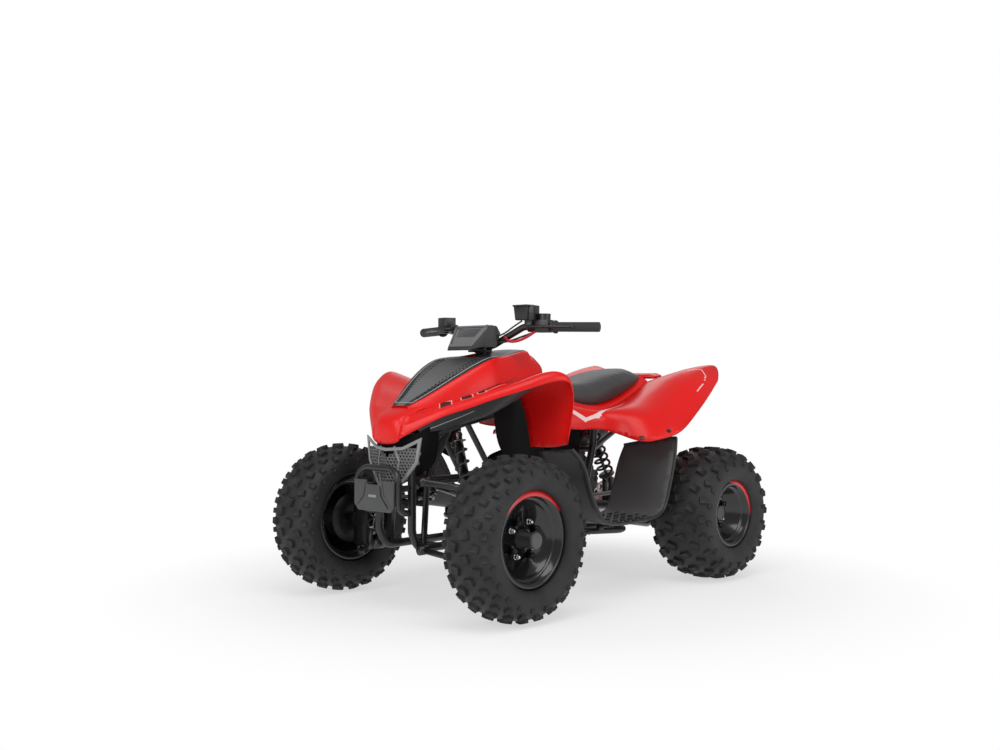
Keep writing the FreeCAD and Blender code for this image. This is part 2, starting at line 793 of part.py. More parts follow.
def knuckle():
    """The steering upright with its spindle, steering arm and brake caliper."""
    x = front_axle_x
    y = s.kingpin_y
    z = s.front_tyre_radius
    high = s.upper_ball_z - s.gap
    low = s.lower_ball_z + s.gap
    middle = (high + low) / 2
    column = block(Vector(x, y, middle), s.upright_width, s.upright_thickness, high - low)
    boss = rod(Vector(x, y, z), Vector(x, upright_outer(), z), s.spindle_boss_radius)
    spindle = rod(Vector(x, y, z), Vector(x, spindle_end(), z), s.spindle_radius)
    arm_z = s.steering_arm_z
    pin_x = x - s.steering_arm
    arm = block(Vector((x + pin_x) / 2, y, arm_z - s.steering_arm_sheet / 2 - s.gap),
                s.steering_arm, s.steering_arm_width, s.steering_arm_sheet)
    arm_end = rod(Vector(pin_x, y, arm_z - s.steering_arm_sheet - s.gap),
                  Vector(pin_x, y, arm_z - s.gap), s.steering_arm_width / 2)
    pin_top = arm_z + s.tie_eye_height + s.gap
    pin = rod(Vector(pin_x, y, arm_z - s.steering_arm_sheet), Vector(pin_x, y, pin_top),
              s.tie_pin_radius)
    head = rod(Vector(pin_x, y, pin_top), Vector(pin_x, y, pin_top + s.tie_pin_head_height),
               s.tie_pin_head)
    whole = joined([column, boss, spindle, arm, arm_end, pin, head])
    bores = []
    for start, end in ((high - s.ball_stud_length, high), (low, low + s.ball_stud_length)):
        bores.append(rod(Vector(x, y, start - s.gap), Vector(x, y, end + s.gap),
                         s.ball_stud_radius + s.pin_play))
    made = whole.cut(bores)
    solid("knuckle_left", made)
    solid("knuckle_right", flip(made))


def tie_rods():
    """The tie rods: a plain eye on the steering arm, and an eye with room on the pitman's pin."""
    low, top, axis, back = steering()
    centre = low + back * s.steering_arm
    lift = s.pitman_sheet / 2 + s.tie_eye_lift + s.tie_eye_height / 2
    for name, side in (("tie_rod_left", LEFT), ("tie_rod_right", RIGHT)):
        inner = centre + axis * lift * side
        outer = Vector(front_axle_x - s.steering_arm, side * s.kingpin_y,
                       s.steering_arm_z + s.tie_eye_height / 2)
        half = UP * (s.tie_eye_height / 2)
        tilt = axis * (s.tie_eye_height / 2)
        whole = joined([
            rod(inner, outer, s.tie_rod_radius),
            rod(outer - half, outer + half, s.tie_eye_radius),
            rod(inner - tilt, inner + tilt, s.tie_eye_radius),
        ])
        made = whole.cut([
            rod(outer - half * 2, outer + half * 2, s.tie_pin_radius + s.pin_play),
            rod(inner - tilt * 2, inner + tilt * 2, s.tie_pin_radius + s.tie_eye_play),
        ])
        solid(name, made)


def steering_column():
    """The column with the pitman plate, its pin, and the clamp that holds the handlebar."""
    low, top, axis, back = steering()
    shaft = rod(low - axis * s.column_foot, top - axis * (s.handlebar_radius + s.gap),
                s.column_radius)
    centre = low + back * s.steering_arm
    thick = axis * (s.pitman_sheet / 2)
    plate_turn = Rotation(axis.cross(ALONG_Y), ALONG_Y, axis)
    plate = block((low + centre) * HALF, s.steering_arm, s.pitman_width, s.pitman_sheet, plate_turn)
    end = rod(centre - thick, centre + thick, s.pitman_width / 2)
    reach = s.pitman_sheet / 2 + s.tie_eye_lift * 2 + s.tie_eye_height
    pin = rod(centre - axis * reach, centre + axis * reach, s.tie_pin_radius)
    heads = []
    for side in (1, -1):
        base = centre + axis * reach * side
        heads.append(rod(base, base + axis * s.tie_pin_head_height * side, s.tie_pin_head))
    clamp = block(top - axis * (s.clamp_height / 2), s.clamp_length, s.clamp_width,
                  s.clamp_height, plate_turn)
    stay = block(Vector(at(POD_SHARES[-2]).x, 0, at(POD_SHARES[-1]).z - s.gap
                        - s.pod_stay_height / 2), s.pod_stay_length, s.pod_stay_width,
                 s.pod_stay_height)
    whole = joined([shaft, plate, end, pin, clamp, stay] + heads)
    seat = rod(top - ALONG_Y * s.clamp_width, top + ALONG_Y * s.clamp_width,
               s.handlebar_radius + s.gap)
    solid("steering_column", whole.cut(seat))


def handlebar():
    """The bent handlebar tube and its grips."""
    top = Vector(s.column_top_x, 0, s.column_top_z)
    end = Vector(s.handlebar_end_x, s.handlebar_half_width, s.handlebar_end_z)
    straight = top + ALONG_Y * s.bar_straight
    rise = Vector(s.bar_rise_x, s.bar_rise_y, s.bar_rise_z)
    half = [straight, rise, end]
    route = [flipped(p) for p in reversed(half)] + half
    solid("handlebar", tube(route, s.handlebar_radius, s.bar_bend))
    run = (end - rise).normalize()
    start = end - run * (s.grip_length - s.grip_end)
    cap = end + run * s.grip_end
    grip = joined([rod(start, cap, s.grip_radius),
                   rod(start, start + run * s.grip_flange, s.grip_flange_radius)])
    grip = grip.cut(rod(start - run, end + run * s.gap, s.handlebar_radius + s.gap))
    pair("grips", grip)


def on_bar(distance):
    """A point on the left handlebar's outer run, by its distance from the bar's end."""
    end = Vector(s.handlebar_end_x, s.handlebar_half_width, s.handlebar_end_z)
    rise = Vector(s.bar_rise_x, s.bar_rise_y, s.bar_rise_z)
    run = (rise - end).normalize()
    return end + run * distance, -run


LEVER_KNEE_SHARE = 0.35


def controls():
    """The brake perches with their levers, the reservoir, the switch pod and the throttle box."""
    place, run = on_bar(s.perch_place)
    forward = run.cross(UP).normalize()
    rise = forward.cross(run)
    turn = Rotation(forward * -1, run, UP)
    bore = rod(place - run * s.controls_reach, place + run * s.controls_reach,
               s.handlebar_radius + s.gap)
    half = run * (s.perch_width / 2)
    perch = rod(place - half, place + half, s.perch_radius)
    pivot = place + forward * s.lever_stand
    arm = rod(place, pivot, s.lever_root_radius)
    tip = pivot + run * s.lever_length - forward * s.lever_curl
    knee = pivot + run * (s.lever_length * LEVER_KNEE_SHARE) + forward * s.lever_curl
    lever = tube([pivot, knee, tip], s.lever_radius, s.lever_length)
    knob = ball(tip, s.lever_knob_radius)
    base = (pivot + place) * HALF
    well = block(base + rise * s.reservoir_lift, s.reservoir_length, s.reservoir_width,
                 s.reservoir_height, turn)
    neck = block(base + rise * (s.reservoir_lift * HALF), s.neck_width, s.neck_width,
                 s.reservoir_lift, turn)
    pod_place, run = on_bar(s.pod_place)
    pod = block(pod_place + rise * s.pod_lift, s.pod_length, s.pod_width, s.pod_height, turn)
    knob_base = pod_place + rise * (s.pod_lift + s.pod_height / 2)
    dial = rod(knob_base, knob_base + rise * s.dial_height, s.dial_radius)
    left = joined([perch, arm, lever, knob, well, neck]).cut(bore)
    switches = joined([pod, dial]).cut(bore)
    right = joined([perch, arm, lever, knob]).cut(bore)
    box_place, run = on_bar(s.throttle_place)
    box = block(box_place + rise * s.throttle_lift, s.pod_length, s.pod_width,
                s.throttle_height, turn)
    reach = forward * s.thumb_drop
    thumb_start = box_place + run * (s.pod_width / 2 - s.lever_radius)
    thumb_end = thumb_start + reach + run * s.thumb_reach
    thumb = tube([thumb_start + reach, (thumb_start + reach + thumb_end) * HALF + UP * s.gap,
                  thumb_end], s.lever_radius, s.thumb_reach)
    throttle = joined([box, thumb]).cut(bore)
    solid("bar_controls", Part.makeCompound([left, switches, flip(right), flip(throttle)]))


def both_sides(points, radius, bend):
    """The same tube on the left and on the right."""
    left = tube(points, radius, bend)
    return [left, flip(left)]


def across(place, radius):
    """A cross tube between the left and right rails."""
    point = at(place)
    return rod(flipped(point), point, radius)


FOURTH = 4
LOWER_RAIL_SHARES = [
    (.5583, .1476, .6312), (.6039, .1762, .5375), (.6039, .1762, .3), (.5786, .1762, .235),
    (-.068, .1762, .235),
    (-.1942, .1762, .4125), (-.2194, .2095, .5875), (-.2194, .2286, .735),
]
RISING_RUN_SHARES = LOWER_RAIL_SHARES[FOURTH:FOURTH + 2]
UPPER_RAIL_SHARES = [
    (.5583, .1476, .6312), (.4563, .1571, .685), (.2427, .1762, .7375), (.0583, .2, .75),
    (-.0971, .2143, .7425),
    (-.1942, .2286, .7325), (-.3204, .2381, .7575), (-.5049, .219, .855),
]
ARM_RAIL_SHARES = [(.6019, .1762, .49), (.3883, .1762, .49)]
BRACE_SHARES = [(.3738, .1667, .7025), (.2544, .1762, .475), (.2087, .1762, .235)]
TOWER_SHARES = [(.4937, .1548, .6687), (.5437, .1762, .49), (.5583, .1762, .235)]
REAR_STAY_SHARES = [(-.2155, .2048, .5625), (-.3689, .2238, .6625), (-.4369, .2262, .8187)]
TAIL_CROSS_SHARE = (-.5049, .219, .855)
FOOT_CROSS_SHARE = (.5481, .1762, .4025)
SEAT_CROSS_SHARES = [(-.3204, .2381, .77), (-.0971, .2143, .7575)]
CROSS_SHARES = [(.5583, .1476, .6312), (.6039, .1762, .4), (.4854, .1762, .235), (.0291, .1762, .244),
                (-.0583, .1762, .244), TAIL_CROSS_SHARE, FOOT_CROSS_SHARE, (.6019, .1762, .5375),
                (-.2155, .2048, .5625), (.4937, .1548, .6687)] + SEAT_CROSS_SHARES


STEM_HOOP_SHARES = [(.3126, .1762, .72), (.2748, .1476, .8519)]
GRILLE_PEG_SHARES = [(.6019, .1476, .5375), (.6602, .1476, .5375)]
TRIM_STAY_SHARES = [(.4563, .1571, .685), (.4524, .6238, .7675)]
HOOD_STAY_SHARES = [(.2748, .1333, .8519), (.2748, .1476, 1)]
FENDER_STAY_SHARES = [(.4563, .1571, .685), (.4175, .4524, .875)]
WING_STAY_SHARES = [(-.3301, .2381, .755), (-.3301, .5714, .8)]
SIDE_STAY_SHARES = [(0, .2048, .75), (0, .4524, .75)]


def stay(panel, route, radius):
    """A rod from its foot to the inside of a panel, with a small gap left."""
    foot, head = [at(place) for place in route]
    pieces = rod(foot, head, radius).cut(panel).Solids
    return min(pieces, key=lambda piece: (piece.CenterOfMass - foot).Length)


def stem_bearings():
    """The column's two bearings, with the rods that hold them."""
    low, top, axis, back = steering()
    wall = s.column_radius + s.bearing_wall
    high = low + axis * (at(STEM_HOOP_SHARES[1]) - low).dot(axis)
    half = axis * (s.bearing_length / 2)
    foot = low - axis * s.column_foot
    step = Vector(at(FOOT_CROSS_SHARE).x, 0, at(FOOT_CROSS_SHARE).z)
    return [rod(high - half, high + half, wall), rod(foot, foot + axis * s.bearing_length, wall),
            rod(step, foot + axis * (s.bearing_length / 2), s.brace_tube)]


def frame():
    """The tube frame: two loops, their braces, the cross tubes, bearings and panel stays."""
    main = both_sides([at(p) for p in LOWER_RAIL_SHARES], s.frame_tube, s.frame_bend)
    main += both_sides([at(p) for p in UPPER_RAIL_SHARES], s.frame_tube, s.frame_bend)
    braces = []
    for route in (BRACE_SHARES, TOWER_SHARES, REAR_STAY_SHARES):
        braces += both_sides([at(p) for p in route], s.brace_tube, s.frame_bend)
    braces += both_sides([at(p) for p in ARM_RAIL_SHARES], s.frame_tube, s.frame_bend)
    crosses = [across(place, s.brace_tube) for place in CROSS_SHARES]
    hoop = [at(place) for place in STEM_HOOP_SHARES]
    braces.append(tube([flipped(p) for p in hoop] + list(reversed(hoop)), s.brace_tube,
                       s.hoop_bend))
    hood, fender = front_skins(s.skin + s.gap)
    rear = skin_of(grid(REAR_BODY_SHARES), s.skin + s.gap)
    front = grille_fold(s.grille_depth + s.gap)
    trim = skin_of(grid(FENDER_TRIM_SHARES), s.skin + s.gap)
    for panel, route, radius in ((hood, HOOD_STAY_SHARES, s.peg_radius),
                                 (fender, FENDER_STAY_SHARES, s.peg_radius),
                                 (rear, WING_STAY_SHARES, s.peg_radius),
                                 (rear, SIDE_STAY_SHARES, s.peg_radius),
                                 (front, GRILLE_PEG_SHARES, s.brace_tube),
                                 (trim, TRIM_STAY_SHARES, s.peg_radius)):
        left = stay(panel, route, radius)
        braces += [left, flip(left)]
    low, top, axis, back = steering()
    whole = joined(main + braces + crosses + stem_bearings())
    bore = rod(low - axis * (s.column_foot + s.overrun), top, s.column_radius + s.pin_play)
    solid("frame", whole.cut(bore))


def arm_pivot_y():
    """The arms' bushes seat against the outside of the frame's rails."""
    return at(ARM_RAIL_SHARES[0]).y + s.frame_tube + s.gap + s.arm_bush_radius


def arms():
    """The upper and lower suspension arms, with their bushes and joint studs."""
    x = front_axle_x
    out = s.kingpin_y
    for name, spread, pivot_z, joint_z, up in (
            ("upper_arm", s.upper_arm_spread, s.upper_arm_pivot_z, s.upper_ball_z, -1),
            ("lower_arm", s.lower_arm_spread, s.lower_arm_pivot_z, s.lower_ball_z, 1)):
        boss_low = Vector(x, out, joint_z - up * s.ball_boss_height)
        boss_high = Vector(x, out, joint_z)
        boss = rod(boss_low, boss_high, s.ball_boss_radius)
        stud = rod(boss_high, boss_high + UP * (up * s.ball_stud_length), s.ball_stud_radius)
        centre = (boss_low + boss_high) * HALF
        legs = []
        bushes = []
        seats = []
        grown = []
        for way in (1, -1):
            pivot = Vector(x + spread * way, arm_pivot_y(), pivot_z)
            half = ALONG_X * (s.arm_bush_length / 2)
            legs.append(rod(pivot, centre, s.arm_tube))
            grown.append(rod(pivot, centre, s.arm_tube + s.gap))
            bushes.append(rod(pivot - half, pivot + half, s.arm_bush_radius))
            seats.append(rod(pivot - half, pivot + half, s.arm_bush_radius + s.gap))
        if name == "lower_arm":
            reach = UP * s.ball_boss_height
            seats.append(rod(centre - reach, centre + reach, s.ball_boss_radius + s.gap))
            legs = [leg.cut(joined(seats)) for leg in legs]
            mount = shock_mount().cut(joined(grown))
            whole = Part.makeCompound([joined([boss, stud])] + legs + bushes + [mount])
        else:
            whole = joined([boss, stud] + legs + bushes)
        pair(name + "s", whole)


def shock_line():
    low = Vector(front_axle_x, s.shock_low_y, s.shock_low_z)
    top = Vector(front_axle_x, s.shock_top_y, s.shock_top_z)
    return low, top


def shock_mount():
    """The two ears on the lower arm that hold the damper's lower eye."""
    low, top = shock_line()
    ears = []
    for way in (1, -1):
        offset = ALONG_X * (way * (s.shock_eye_width / 2 + s.gap + s.ear_sheet / 2))
        ears.append(block(low + offset - UP * (s.ear_drop / 2 - s.shock_eye_radius),
                          s.ear_sheet, s.ear_width, s.ear_drop))
    bar_low = Vector(0, s.shock_low_y, s.shock_low_z - s.ear_drop + s.shock_eye_radius)
    plate = block(Vector(front_axle_x, s.shock_low_y, bar_low.z + s.ear_sheet / 2),
                  s.ear_plate_length, s.ear_width, s.ear_sheet)
    return joined(ears + [plate])


def spring(start, end, radius, wire, turns):
    """A coil from start to end."""
    run = end - start
    pitch = run.Length / turns
    helix = Part.makeHelix(pitch, run.Length, radius)
    profile = Part.Wire([Part.Circle(Vector(radius, 0, 0), ALONG_Y, wire).toShape()])
    coil = Part.Wire(helix.Edges).makePipeShell([profile], True, True)
    coil.Placement = Placement(start, turn_to(run))
    return coil


def damper(low, top, body_share, eye_axis, coil_radius, wire):
    """A damper: eyes, body, rod and two spring seats; returns it with the coil's two ends."""
    run = (top - low).normalize()
    length = (top - low).Length
    middle = low + run * (length * body_share)
    half = eye_axis * (s.shock_eye_width / 2)
    seat_radius = coil_radius + wire
    low_seat = low + run * (s.shock_eye_radius + s.seat_stand)
    top_seat = top - run * (s.shock_eye_radius + s.spring_seat + s.seat_stand)
    shape = joined([
        rod(low - half, low + half, s.shock_eye_radius),
        rod(top - half, top + half, s.shock_eye_radius),
        rod(low, middle, s.shock_rod_radius),
        rod(middle, top, s.shock_body_radius),
        rod(low_seat, low_seat + run * s.spring_seat, seat_radius),
        rod(top_seat, top_seat + run * s.spring_seat, seat_radius),
    ])
    start = low_seat + run * (s.spring_seat + wire + s.gap)
    end = top_seat - run * (wire + s.gap)
    return shape, start, end


DAMPER_ROD_SHARE = 0.45


def shocks():
    """The two front dampers and the rear one, with their springs."""
    dampers = []
    coils = []
    low, top = shock_line()
    shape, start, end = damper(low, top, DAMPER_ROD_SHARE, ALONG_X, s.spring_radius, s.spring_wire)
    coil = spring(start, end, s.spring_radius, s.spring_wire, s.spring_turns)
    dampers += [shape, flip(shape)]
    coils += [coil, flip(coil)]
    low, top = [at(place) for place in REAR_SHOCK_SHARES]
    shape, start, end = damper(low, top, DAMPER_ROD_SHARE, ALONG_Y, s.rear_spring_radius,
                               s.rear_spring_wire)
    dampers.append(shape)
    coils.append(spring(start, end, s.rear_spring_radius, s.rear_spring_wire,
                        s.rear_spring_turns))
    solid("dampers", Part.makeCompound(dampers))
    solid("springs", Part.makeCompound(coils))


REAR_SHOCK_SHARES = [(-.4126, 0, .4125), (-.3087, 0, .6525)]
SWING_PIVOT_RUN_SHARE = 0.52
EAR_SHARE = 0.5
BRIDGE_SHARE = 0.8


def swing_pivot():
    """The swingarm pivots between the rising runs of the lower rails."""
    low, high = [at(place) for place in RISING_RUN_SHARES]
    place = low + (high - low) * SWING_PIVOT_RUN_SHARE
    return Vector(place.x, 0, place.z), place.y - s.frame_tube - s.gap


def swingarm():
    """The swingarm: pivot tube, two arms and the bearing carrier round the axle."""
    pivot, reach = swing_pivot()
    axle = Vector(rear_axle_x, 0, s.rear_tyre_radius)
    half = ALONG_Y * reach
    inner = ALONG_Y * s.axle_carrier_half
    mount = at(REAR_SHOCK_SHARES[0])
    shapes = [rod(pivot - half, pivot + half, s.swing_pivot_radius),
              rod(axle - inner, axle + inner, s.axle_carrier_radius)]
    for side in (1, -1):
        offset = ALONG_Y * (side * s.swing_arm_y)
        shapes.append(rod(pivot + offset, axle + offset, s.swing_tube_radius))
    bridge = pivot + (axle - pivot) * s.swing_bridge_share
    shapes.append(rod(bridge - ALONG_Y * s.swing_arm_y, bridge + ALONG_Y * s.swing_arm_y,
                      s.swing_tube_radius * BRIDGE_SHARE))
    for side in (1, -1):
        offset = ALONG_Y * (side * (s.shock_eye_width / 2 + s.gap + s.ear_sheet / 2))
        top = mount.z + s.shock_eye_radius * EAR_SHARE
        shapes.append(block(Vector(mount.x, offset.y, (top + axle.z) / 2),
                            s.ear_width, s.ear_sheet, top - axle.z))
    whole = joined(shapes)
    bore = rod(axle - inner * 2, axle + inner * 2, s.axle_radius + s.pin_play)
    solid("swingarm", whole.cut(bore))


def rear_axle():
    """The rear axle with both hubs, their studs and nuts; the sprocket; the brake disc."""
    z = s.rear_tyre_radius
    x = rear_axle_x
    lip = s.rear_tyre_middle + s.rear_rim_width / 2
    face = lip - s.rear_disc_recess
    back = face - s.disc_sheet
    cap = face + s.rear_cap_stand
    snout = s.disc_bore - s.gap
    hub = joined([
        rod(Vector(x, back - s.hub_flange - s.rear_hub_length, z), Vector(x, back, z),
            s.hub_radius),
        rod(Vector(x, back - s.hub_flange, z), Vector(x, back, z), s.hub_flange_radius),
        rod(Vector(x, back - s.hub_flange, z), Vector(x, face + s.hub_flange, z), snout),
        rod(Vector(x, back, z), Vector(x, cap, z), s.hub_cap_radius),
    ] + wheel_studs(face, x, z))
    axle = rod(Vector(x, -back, z), Vector(x, back, z), s.axle_radius)
    solid("rear_axle", joined([axle, hub, flip(hub)]))
    sprocket()
    disc = body("rear_brake_disc")
    half = s.brake_disc_sheet / 2
    bore = s.axle_radius + s.gap
    carrier = s.rear_disc_boss
    revolve(disc, "rear_brake_disc_turned", [
        (-half, bore), (carrier, bore), (carrier, bore + s.rear_disc_boss_wall),
        (half, bore + s.rear_disc_boss_wall), (half, s.rear_disc_radius),
        (-half, s.rear_disc_radius)])
    document.recompute()
    holes = sketch_on(disc, "rear_brake_disc_holes", "XZ_Plane")
    ring(holes, s.rear_disc_radius * DISC_HOLE_SHARE, 0, s.rear_disc_hole)
    document.recompute()
    cut = feature(disc, "Pocket", "rear_brake_disc_hole", holes, Length=s.rear_disc_radius)
    cut.Midplane = True
    document.recompute()
    pattern(disc, "rear_brake_disc_ring", [cut], DISC_HOLES)
    put(disc, x, s.rear_disc_y, z)


DISC_HOLES = 12
DISC_HOLE_SHARE = 0.74
TOOTH_ROOT_SHARE = 0.28
TOOTH_TIP_SHARE = 0.1
SPROCKET_TEETH = 24


def sprocket():
    """The driven sprocket: a plate, its boss on the axle and its teeth."""
    thing = body("rear_sprocket")
    half = s.sprocket_sheet / 2
    bore = s.axle_radius + s.gap
    root = s.sprocket_radius - s.roller_radius - s.gap
    revolve(thing, "rear_sprocket_turned", [
        (-s.rear_disc_boss, bore), (half, bore), (half, root), (-half, root),
        (-half, bore + s.rear_disc_boss_wall), (-s.rear_disc_boss, bore + s.rear_disc_boss_wall)])
    document.recompute()
    pitch = 2 * math.pi / SPROCKET_TEETH
    tooth = sketch_on(thing, "rear_sprocket_tooth_outline", "XZ_Plane")
    wide = root * math.tan(pitch * TOOTH_ROOT_SHARE)
    tip = root * math.tan(pitch * TOOTH_TIP_SHARE)
    outline(tooth, [(root - s.overrun, -wide), (root, -wide), (root + s.tooth_height, -tip),
                    (root + s.tooth_height, tip), (root, wide), (root - s.overrun, wide)])
    pad = feature(thing, "Pad", "rear_sprocket_tooth", tooth, Length=s.sprocket_sheet)
    pad.Midplane = True
    document.recompute()
    pattern(thing, "rear_sprocket_teeth", [pad], SPROCKET_TEETH)
    put(thing, rear_axle_x, s.sprocket_y, s.rear_tyre_radius)


DRIVE_SPROCKET_SHARE = (-.0718, 0, .3275)


def chain():
    """The chain as one fixed loop round both sprockets."""
    small = at(DRIVE_SPROCKET_SHARE)
    big = Vector(rear_axle_x, 0, s.rear_tyre_radius)
    span = (big - small)
    lean = math.asin((s.sprocket_radius - s.drive_sprocket_radius) / span.Length)
    base = math.atan2(-span.z, -span.x)
    shapes = []
    for offset in (s.chain_plate / 2, -s.chain_plate / 2):
        edges = loop_edges(small, s.drive_sprocket_radius + offset,
                           big, s.sprocket_radius + offset, lean, base)
        shapes.append(Part.Face(Part.Wire(edges)))
    band = shapes[0].cut(shapes[1]).extrude(ALONG_Y * s.chain_width)
    band.translate(ALONG_Y * (s.sprocket_y - s.chain_width / 2))
    roof = s.chain_plate / 2 - s.chain_roof
    inside = loop_edges(small, s.drive_sprocket_radius + roof, big, s.sprocket_radius + roof,
                        lean, base)
    groove = Part.Face(Part.Wire(inside)).extrude(ALONG_Y * (s.sprocket_sheet
                                                          + s.chain_slot_play * 2))
    groove.translate(ALONG_Y * (s.sprocket_y - s.sprocket_sheet / 2 - s.chain_slot_play))
    solid("chain", band.cut(groove))


def loop_edges(small, small_radius, big, big_radius, lean, base):
    """Two arcs and the two straight runs that touch them."""
    def on(centre, radius, turn):
        return Vector(centre.x + radius * math.cos(turn), 0, centre.z + radius * math.sin(turn))
    upper = base + math.pi / 2 + lean
    lower = base - math.pi / 2 - lean
    small_top = on(small, small_radius, upper)
    small_low = on(small, small_radius, lower)
    big_top = on(big, big_radius, upper)
    big_low = on(big, big_radius, lower)
    return [
        Part.Arc(small_low, on(small, small_radius, base), small_top).toShape(),
        Part.LineSegment(small_top, big_top).toShape(),
        Part.Arc(big_top, on(big, big_radius, base + math.pi), big_low).toShape(),
        Part.LineSegment(big_low, small_low).toShape(),
    ]


CRANKCASE_OUTLINE_SHARES = [
    (-.101, 0, .2562), (.0388, 0, .2562), (.068, 0, .3125), (.068, 0, .4313), (.0194, 0, .4938),
    (-.0777, 0, .5), (-.101, 0, .4313),
]
CYLINDER_START_SHARE = (.0683, 0, .3688)
CYLINDER_END_SHARE = (.1942, 0, .3688)
CRANK_COVER_SHARE = (-.0194, 0, .375)
COVER_TAPER_SHARE = 0.82


def engine():
    """A horizontal single: crankcase, round side covers, finned cylinder and head."""
    points = [at(p) for p in CRANKCASE_OUTLINE_SHARES]
    wire = Part.makePolygon(points + points[:1])
    case = Part.Face(wire).extrude(ALONG_Y * s.crankcase_width)
    case.translate(ALONG_Y * (-s.crankcase_width / 2))
    covers = []
    for side in (LEFT, RIGHT):
        start = at(CRANK_COVER_SHARE) + ALONG_Y * (side * s.crankcase_width / 2)
        covers.append(Part.makeCone(s.cover_radius, s.cover_radius * COVER_TAPER_SHARE,
                                    s.cover_depth, start, ALONG_Y * side))
    solid("crankcase", joined([case, covers[1]]))
    solid("flywheel_cover", covers[0])
    start = at(CYLINDER_START_SHARE)
    end = at(CYLINDER_END_SHARE)
    run = (end - start).normalize()
    length = (end - start).Length
    turn = Rotation(run, ALONG_Y, run.cross(ALONG_Y))
    shapes = [rod(start, end, s.cylinder_radius)]
    pitch = length / FINS
    for i in range(FINS):
        middle = start + run * (pitch * (i + HALF))
        shapes.append(block(middle, s.fin_sheet, s.fin_width, s.fin_height, turn))
    head = block(end + run * (s.head_length / 2), s.head_length, s.head_width, s.head_height, turn)
    solid("cylinder", joined(shapes + [head]))


FINS = 7
EXHAUST_SHARES = [
    (.2155, 0, .3109), (.2155, 0, .2775), (.1845, -.1429, .2675), (.1068, -.2619, .2775),
    (-.0583, -.2667, .295),
    (-.1748, -.2619, .375), (-.267, -.2476, .5175), (-.3282, -.3048, .56),
]
MUFFLER_SHARES = [(-.3311, -.3095, .5613), (-.5437, -.3619, .62)]
INTAKE_SHARES = [(.2117, 0, .4266), (.2117, 0, .5375), (.0874, 0, .5775), (-.035, 0, .5875)]


def exhaust():
    route = [at(p) for p in EXHAUST_SHARES]
    pipe = tube(route, s.exhaust_radius, s.frame_bend)
    start, end = [at(p) for p in MUFFLER_SHARES]
    can = rod(start, end, s.muffler_radius)
    solid("exhaust", joined([pipe, can]))


def intake():
    """The intake pipe, carburettor and airbox above the engine."""
    route = [at(p) for p in INTAKE_SHARES]
    pipe = tube(route, s.intake_radius, s.frame_bend)
    carb = block(at(INTAKE_SHARES[2]), s.carb_length, s.carb_width, s.carb_height)
    box = block(at(AIRBOX_SHARE), s.airbox_length, s.airbox_width, s.airbox_height)
    solid("intake", joined([pipe, carb, box]))


AIRBOX_SHARE = (-.1068, 0, .6)

HOOD_SHARES = [
    [(.6447, 0, .63), (.6447, .0571, .6312), (.6437, .1, .635), (.6427, .119, .64),
     (.6417, .1357, .645)],
    [(.6485, 0, .6813), (.6485, .0619, .6825), (.6447, .1048, .685), (.6408, .1238, .6863),
     (.6369, .1429, .6875)],
    [(.6447, 0, .7312), (.6427, .0667, .7312), (.6359, .1095, .73), (.6291, .1333, .7275),
     (.6214, .1571, .7225)],
    [(.6019, 0, .7575), (.6, .0738, .7575), (.5942, .119, .755), (.5883, .1476, .75),
     (.5825, .1762, .74)],
    [(.566, 0, .7788), (.565, .081, .7775), (.5631, .1286, .775), (.5592, .1619, .765),
     (.5553, .1952, .75)],
    [(.4631, 0, .8775), (.4631, .1071, .85), (.4631, .2, .825), (.4631, .2333, .8063),
     (.4631, .2571, .785)],
    [(.3534, 0, .94), (.3534, .1357, .9187), (.3534, .2762, .8688), (.3534, .3048, .85),
     (.3534, .3238, .8275)],
    [(.2427, 0, .9812), (.2427, .1643, .965), (.2427, .3476, .89), (.2427, .3619, .87),
     (.2427, .3667, .845)],
    [(.1068, 0, .9938), (.1068, .2, .9825), (.1068, .3333, .9275), (.1068, .3476, .9025),
     (.1068, .3476, .875)],
]
FENDER_SHARES = [
    [(.6214, .1476, .7288), (.6262, .1476, .7188), (.633, .1452, .7025), (.6388, .1405, .6825),
     (.6437, .1357, .6488)],
    [(.5728, .1571, .7538), (.5738, .1976, .7525), (.5748, .2667, .7538), (.5806, .3381, .7575),
     (.5786, .3595, .73)],
    [(.5146, .2, .785), (.5107, .25, .775), (.5136, .3762, .7775), (.5204, .5071, .8),
     (.5194, .5286, .7638)],
    [(.4563, .2381, .8125), (.4515, .3095, .795), (.4563, .4762, .81), (.467, .6452, .835),
     (.467, .6595, .8)],
    [(.3883, .281, .84), (.3835, .3762, .8187), (.3883, .5952, .84), (.3981, .8119, .88),
     (.4, .819, .8337)],
    [(.3301, .3048, .8625), (.3282, .4333, .845), (.3282, .6619, .8725), (.3262, .9167, .92),
     (.3359, .9, .8625)],
    [(.2864, .3333, .8625), (.2864, .4524, .8525), (.2864, .6905, .8788), (.2835, .9571, .92),
     (.2913, .9524, .87)],
    [(.2544, .3714, .835), (.2544, .4881, .8275), (.2544, .7143, .8625), (.2544, .9714, .8825),
     (.2621, .9619, .855)],
    [(.2408, .4762, .7625), (.2388, .5952, .7625), (.2388, .7381, .765), (.2388, .9476, .765),
     (.2485, .9571, .7625)],
    [(.2485, .5381, .6088), (.2466, .6429, .6088), (.2466, .7619, .6112), (.2466, .8905, .625),
     (.2544, .9048, .625)],
]


COLUMN_HOLE_SHARE = (.2505, 0, .975)


def grid(shares):
    return [[at(p) for p in row] for row in shares]


def front_skins(wall):
    """The hood and the left front fender, with a given wall."""
    rows = grid(HOOD_SHARES)
    whole = [[flipped(p) for p in reversed(row[1:])] + row for row in rows]
    return skin_of(whole, wall), skin_of(grid(FENDER_SHARES), wall)


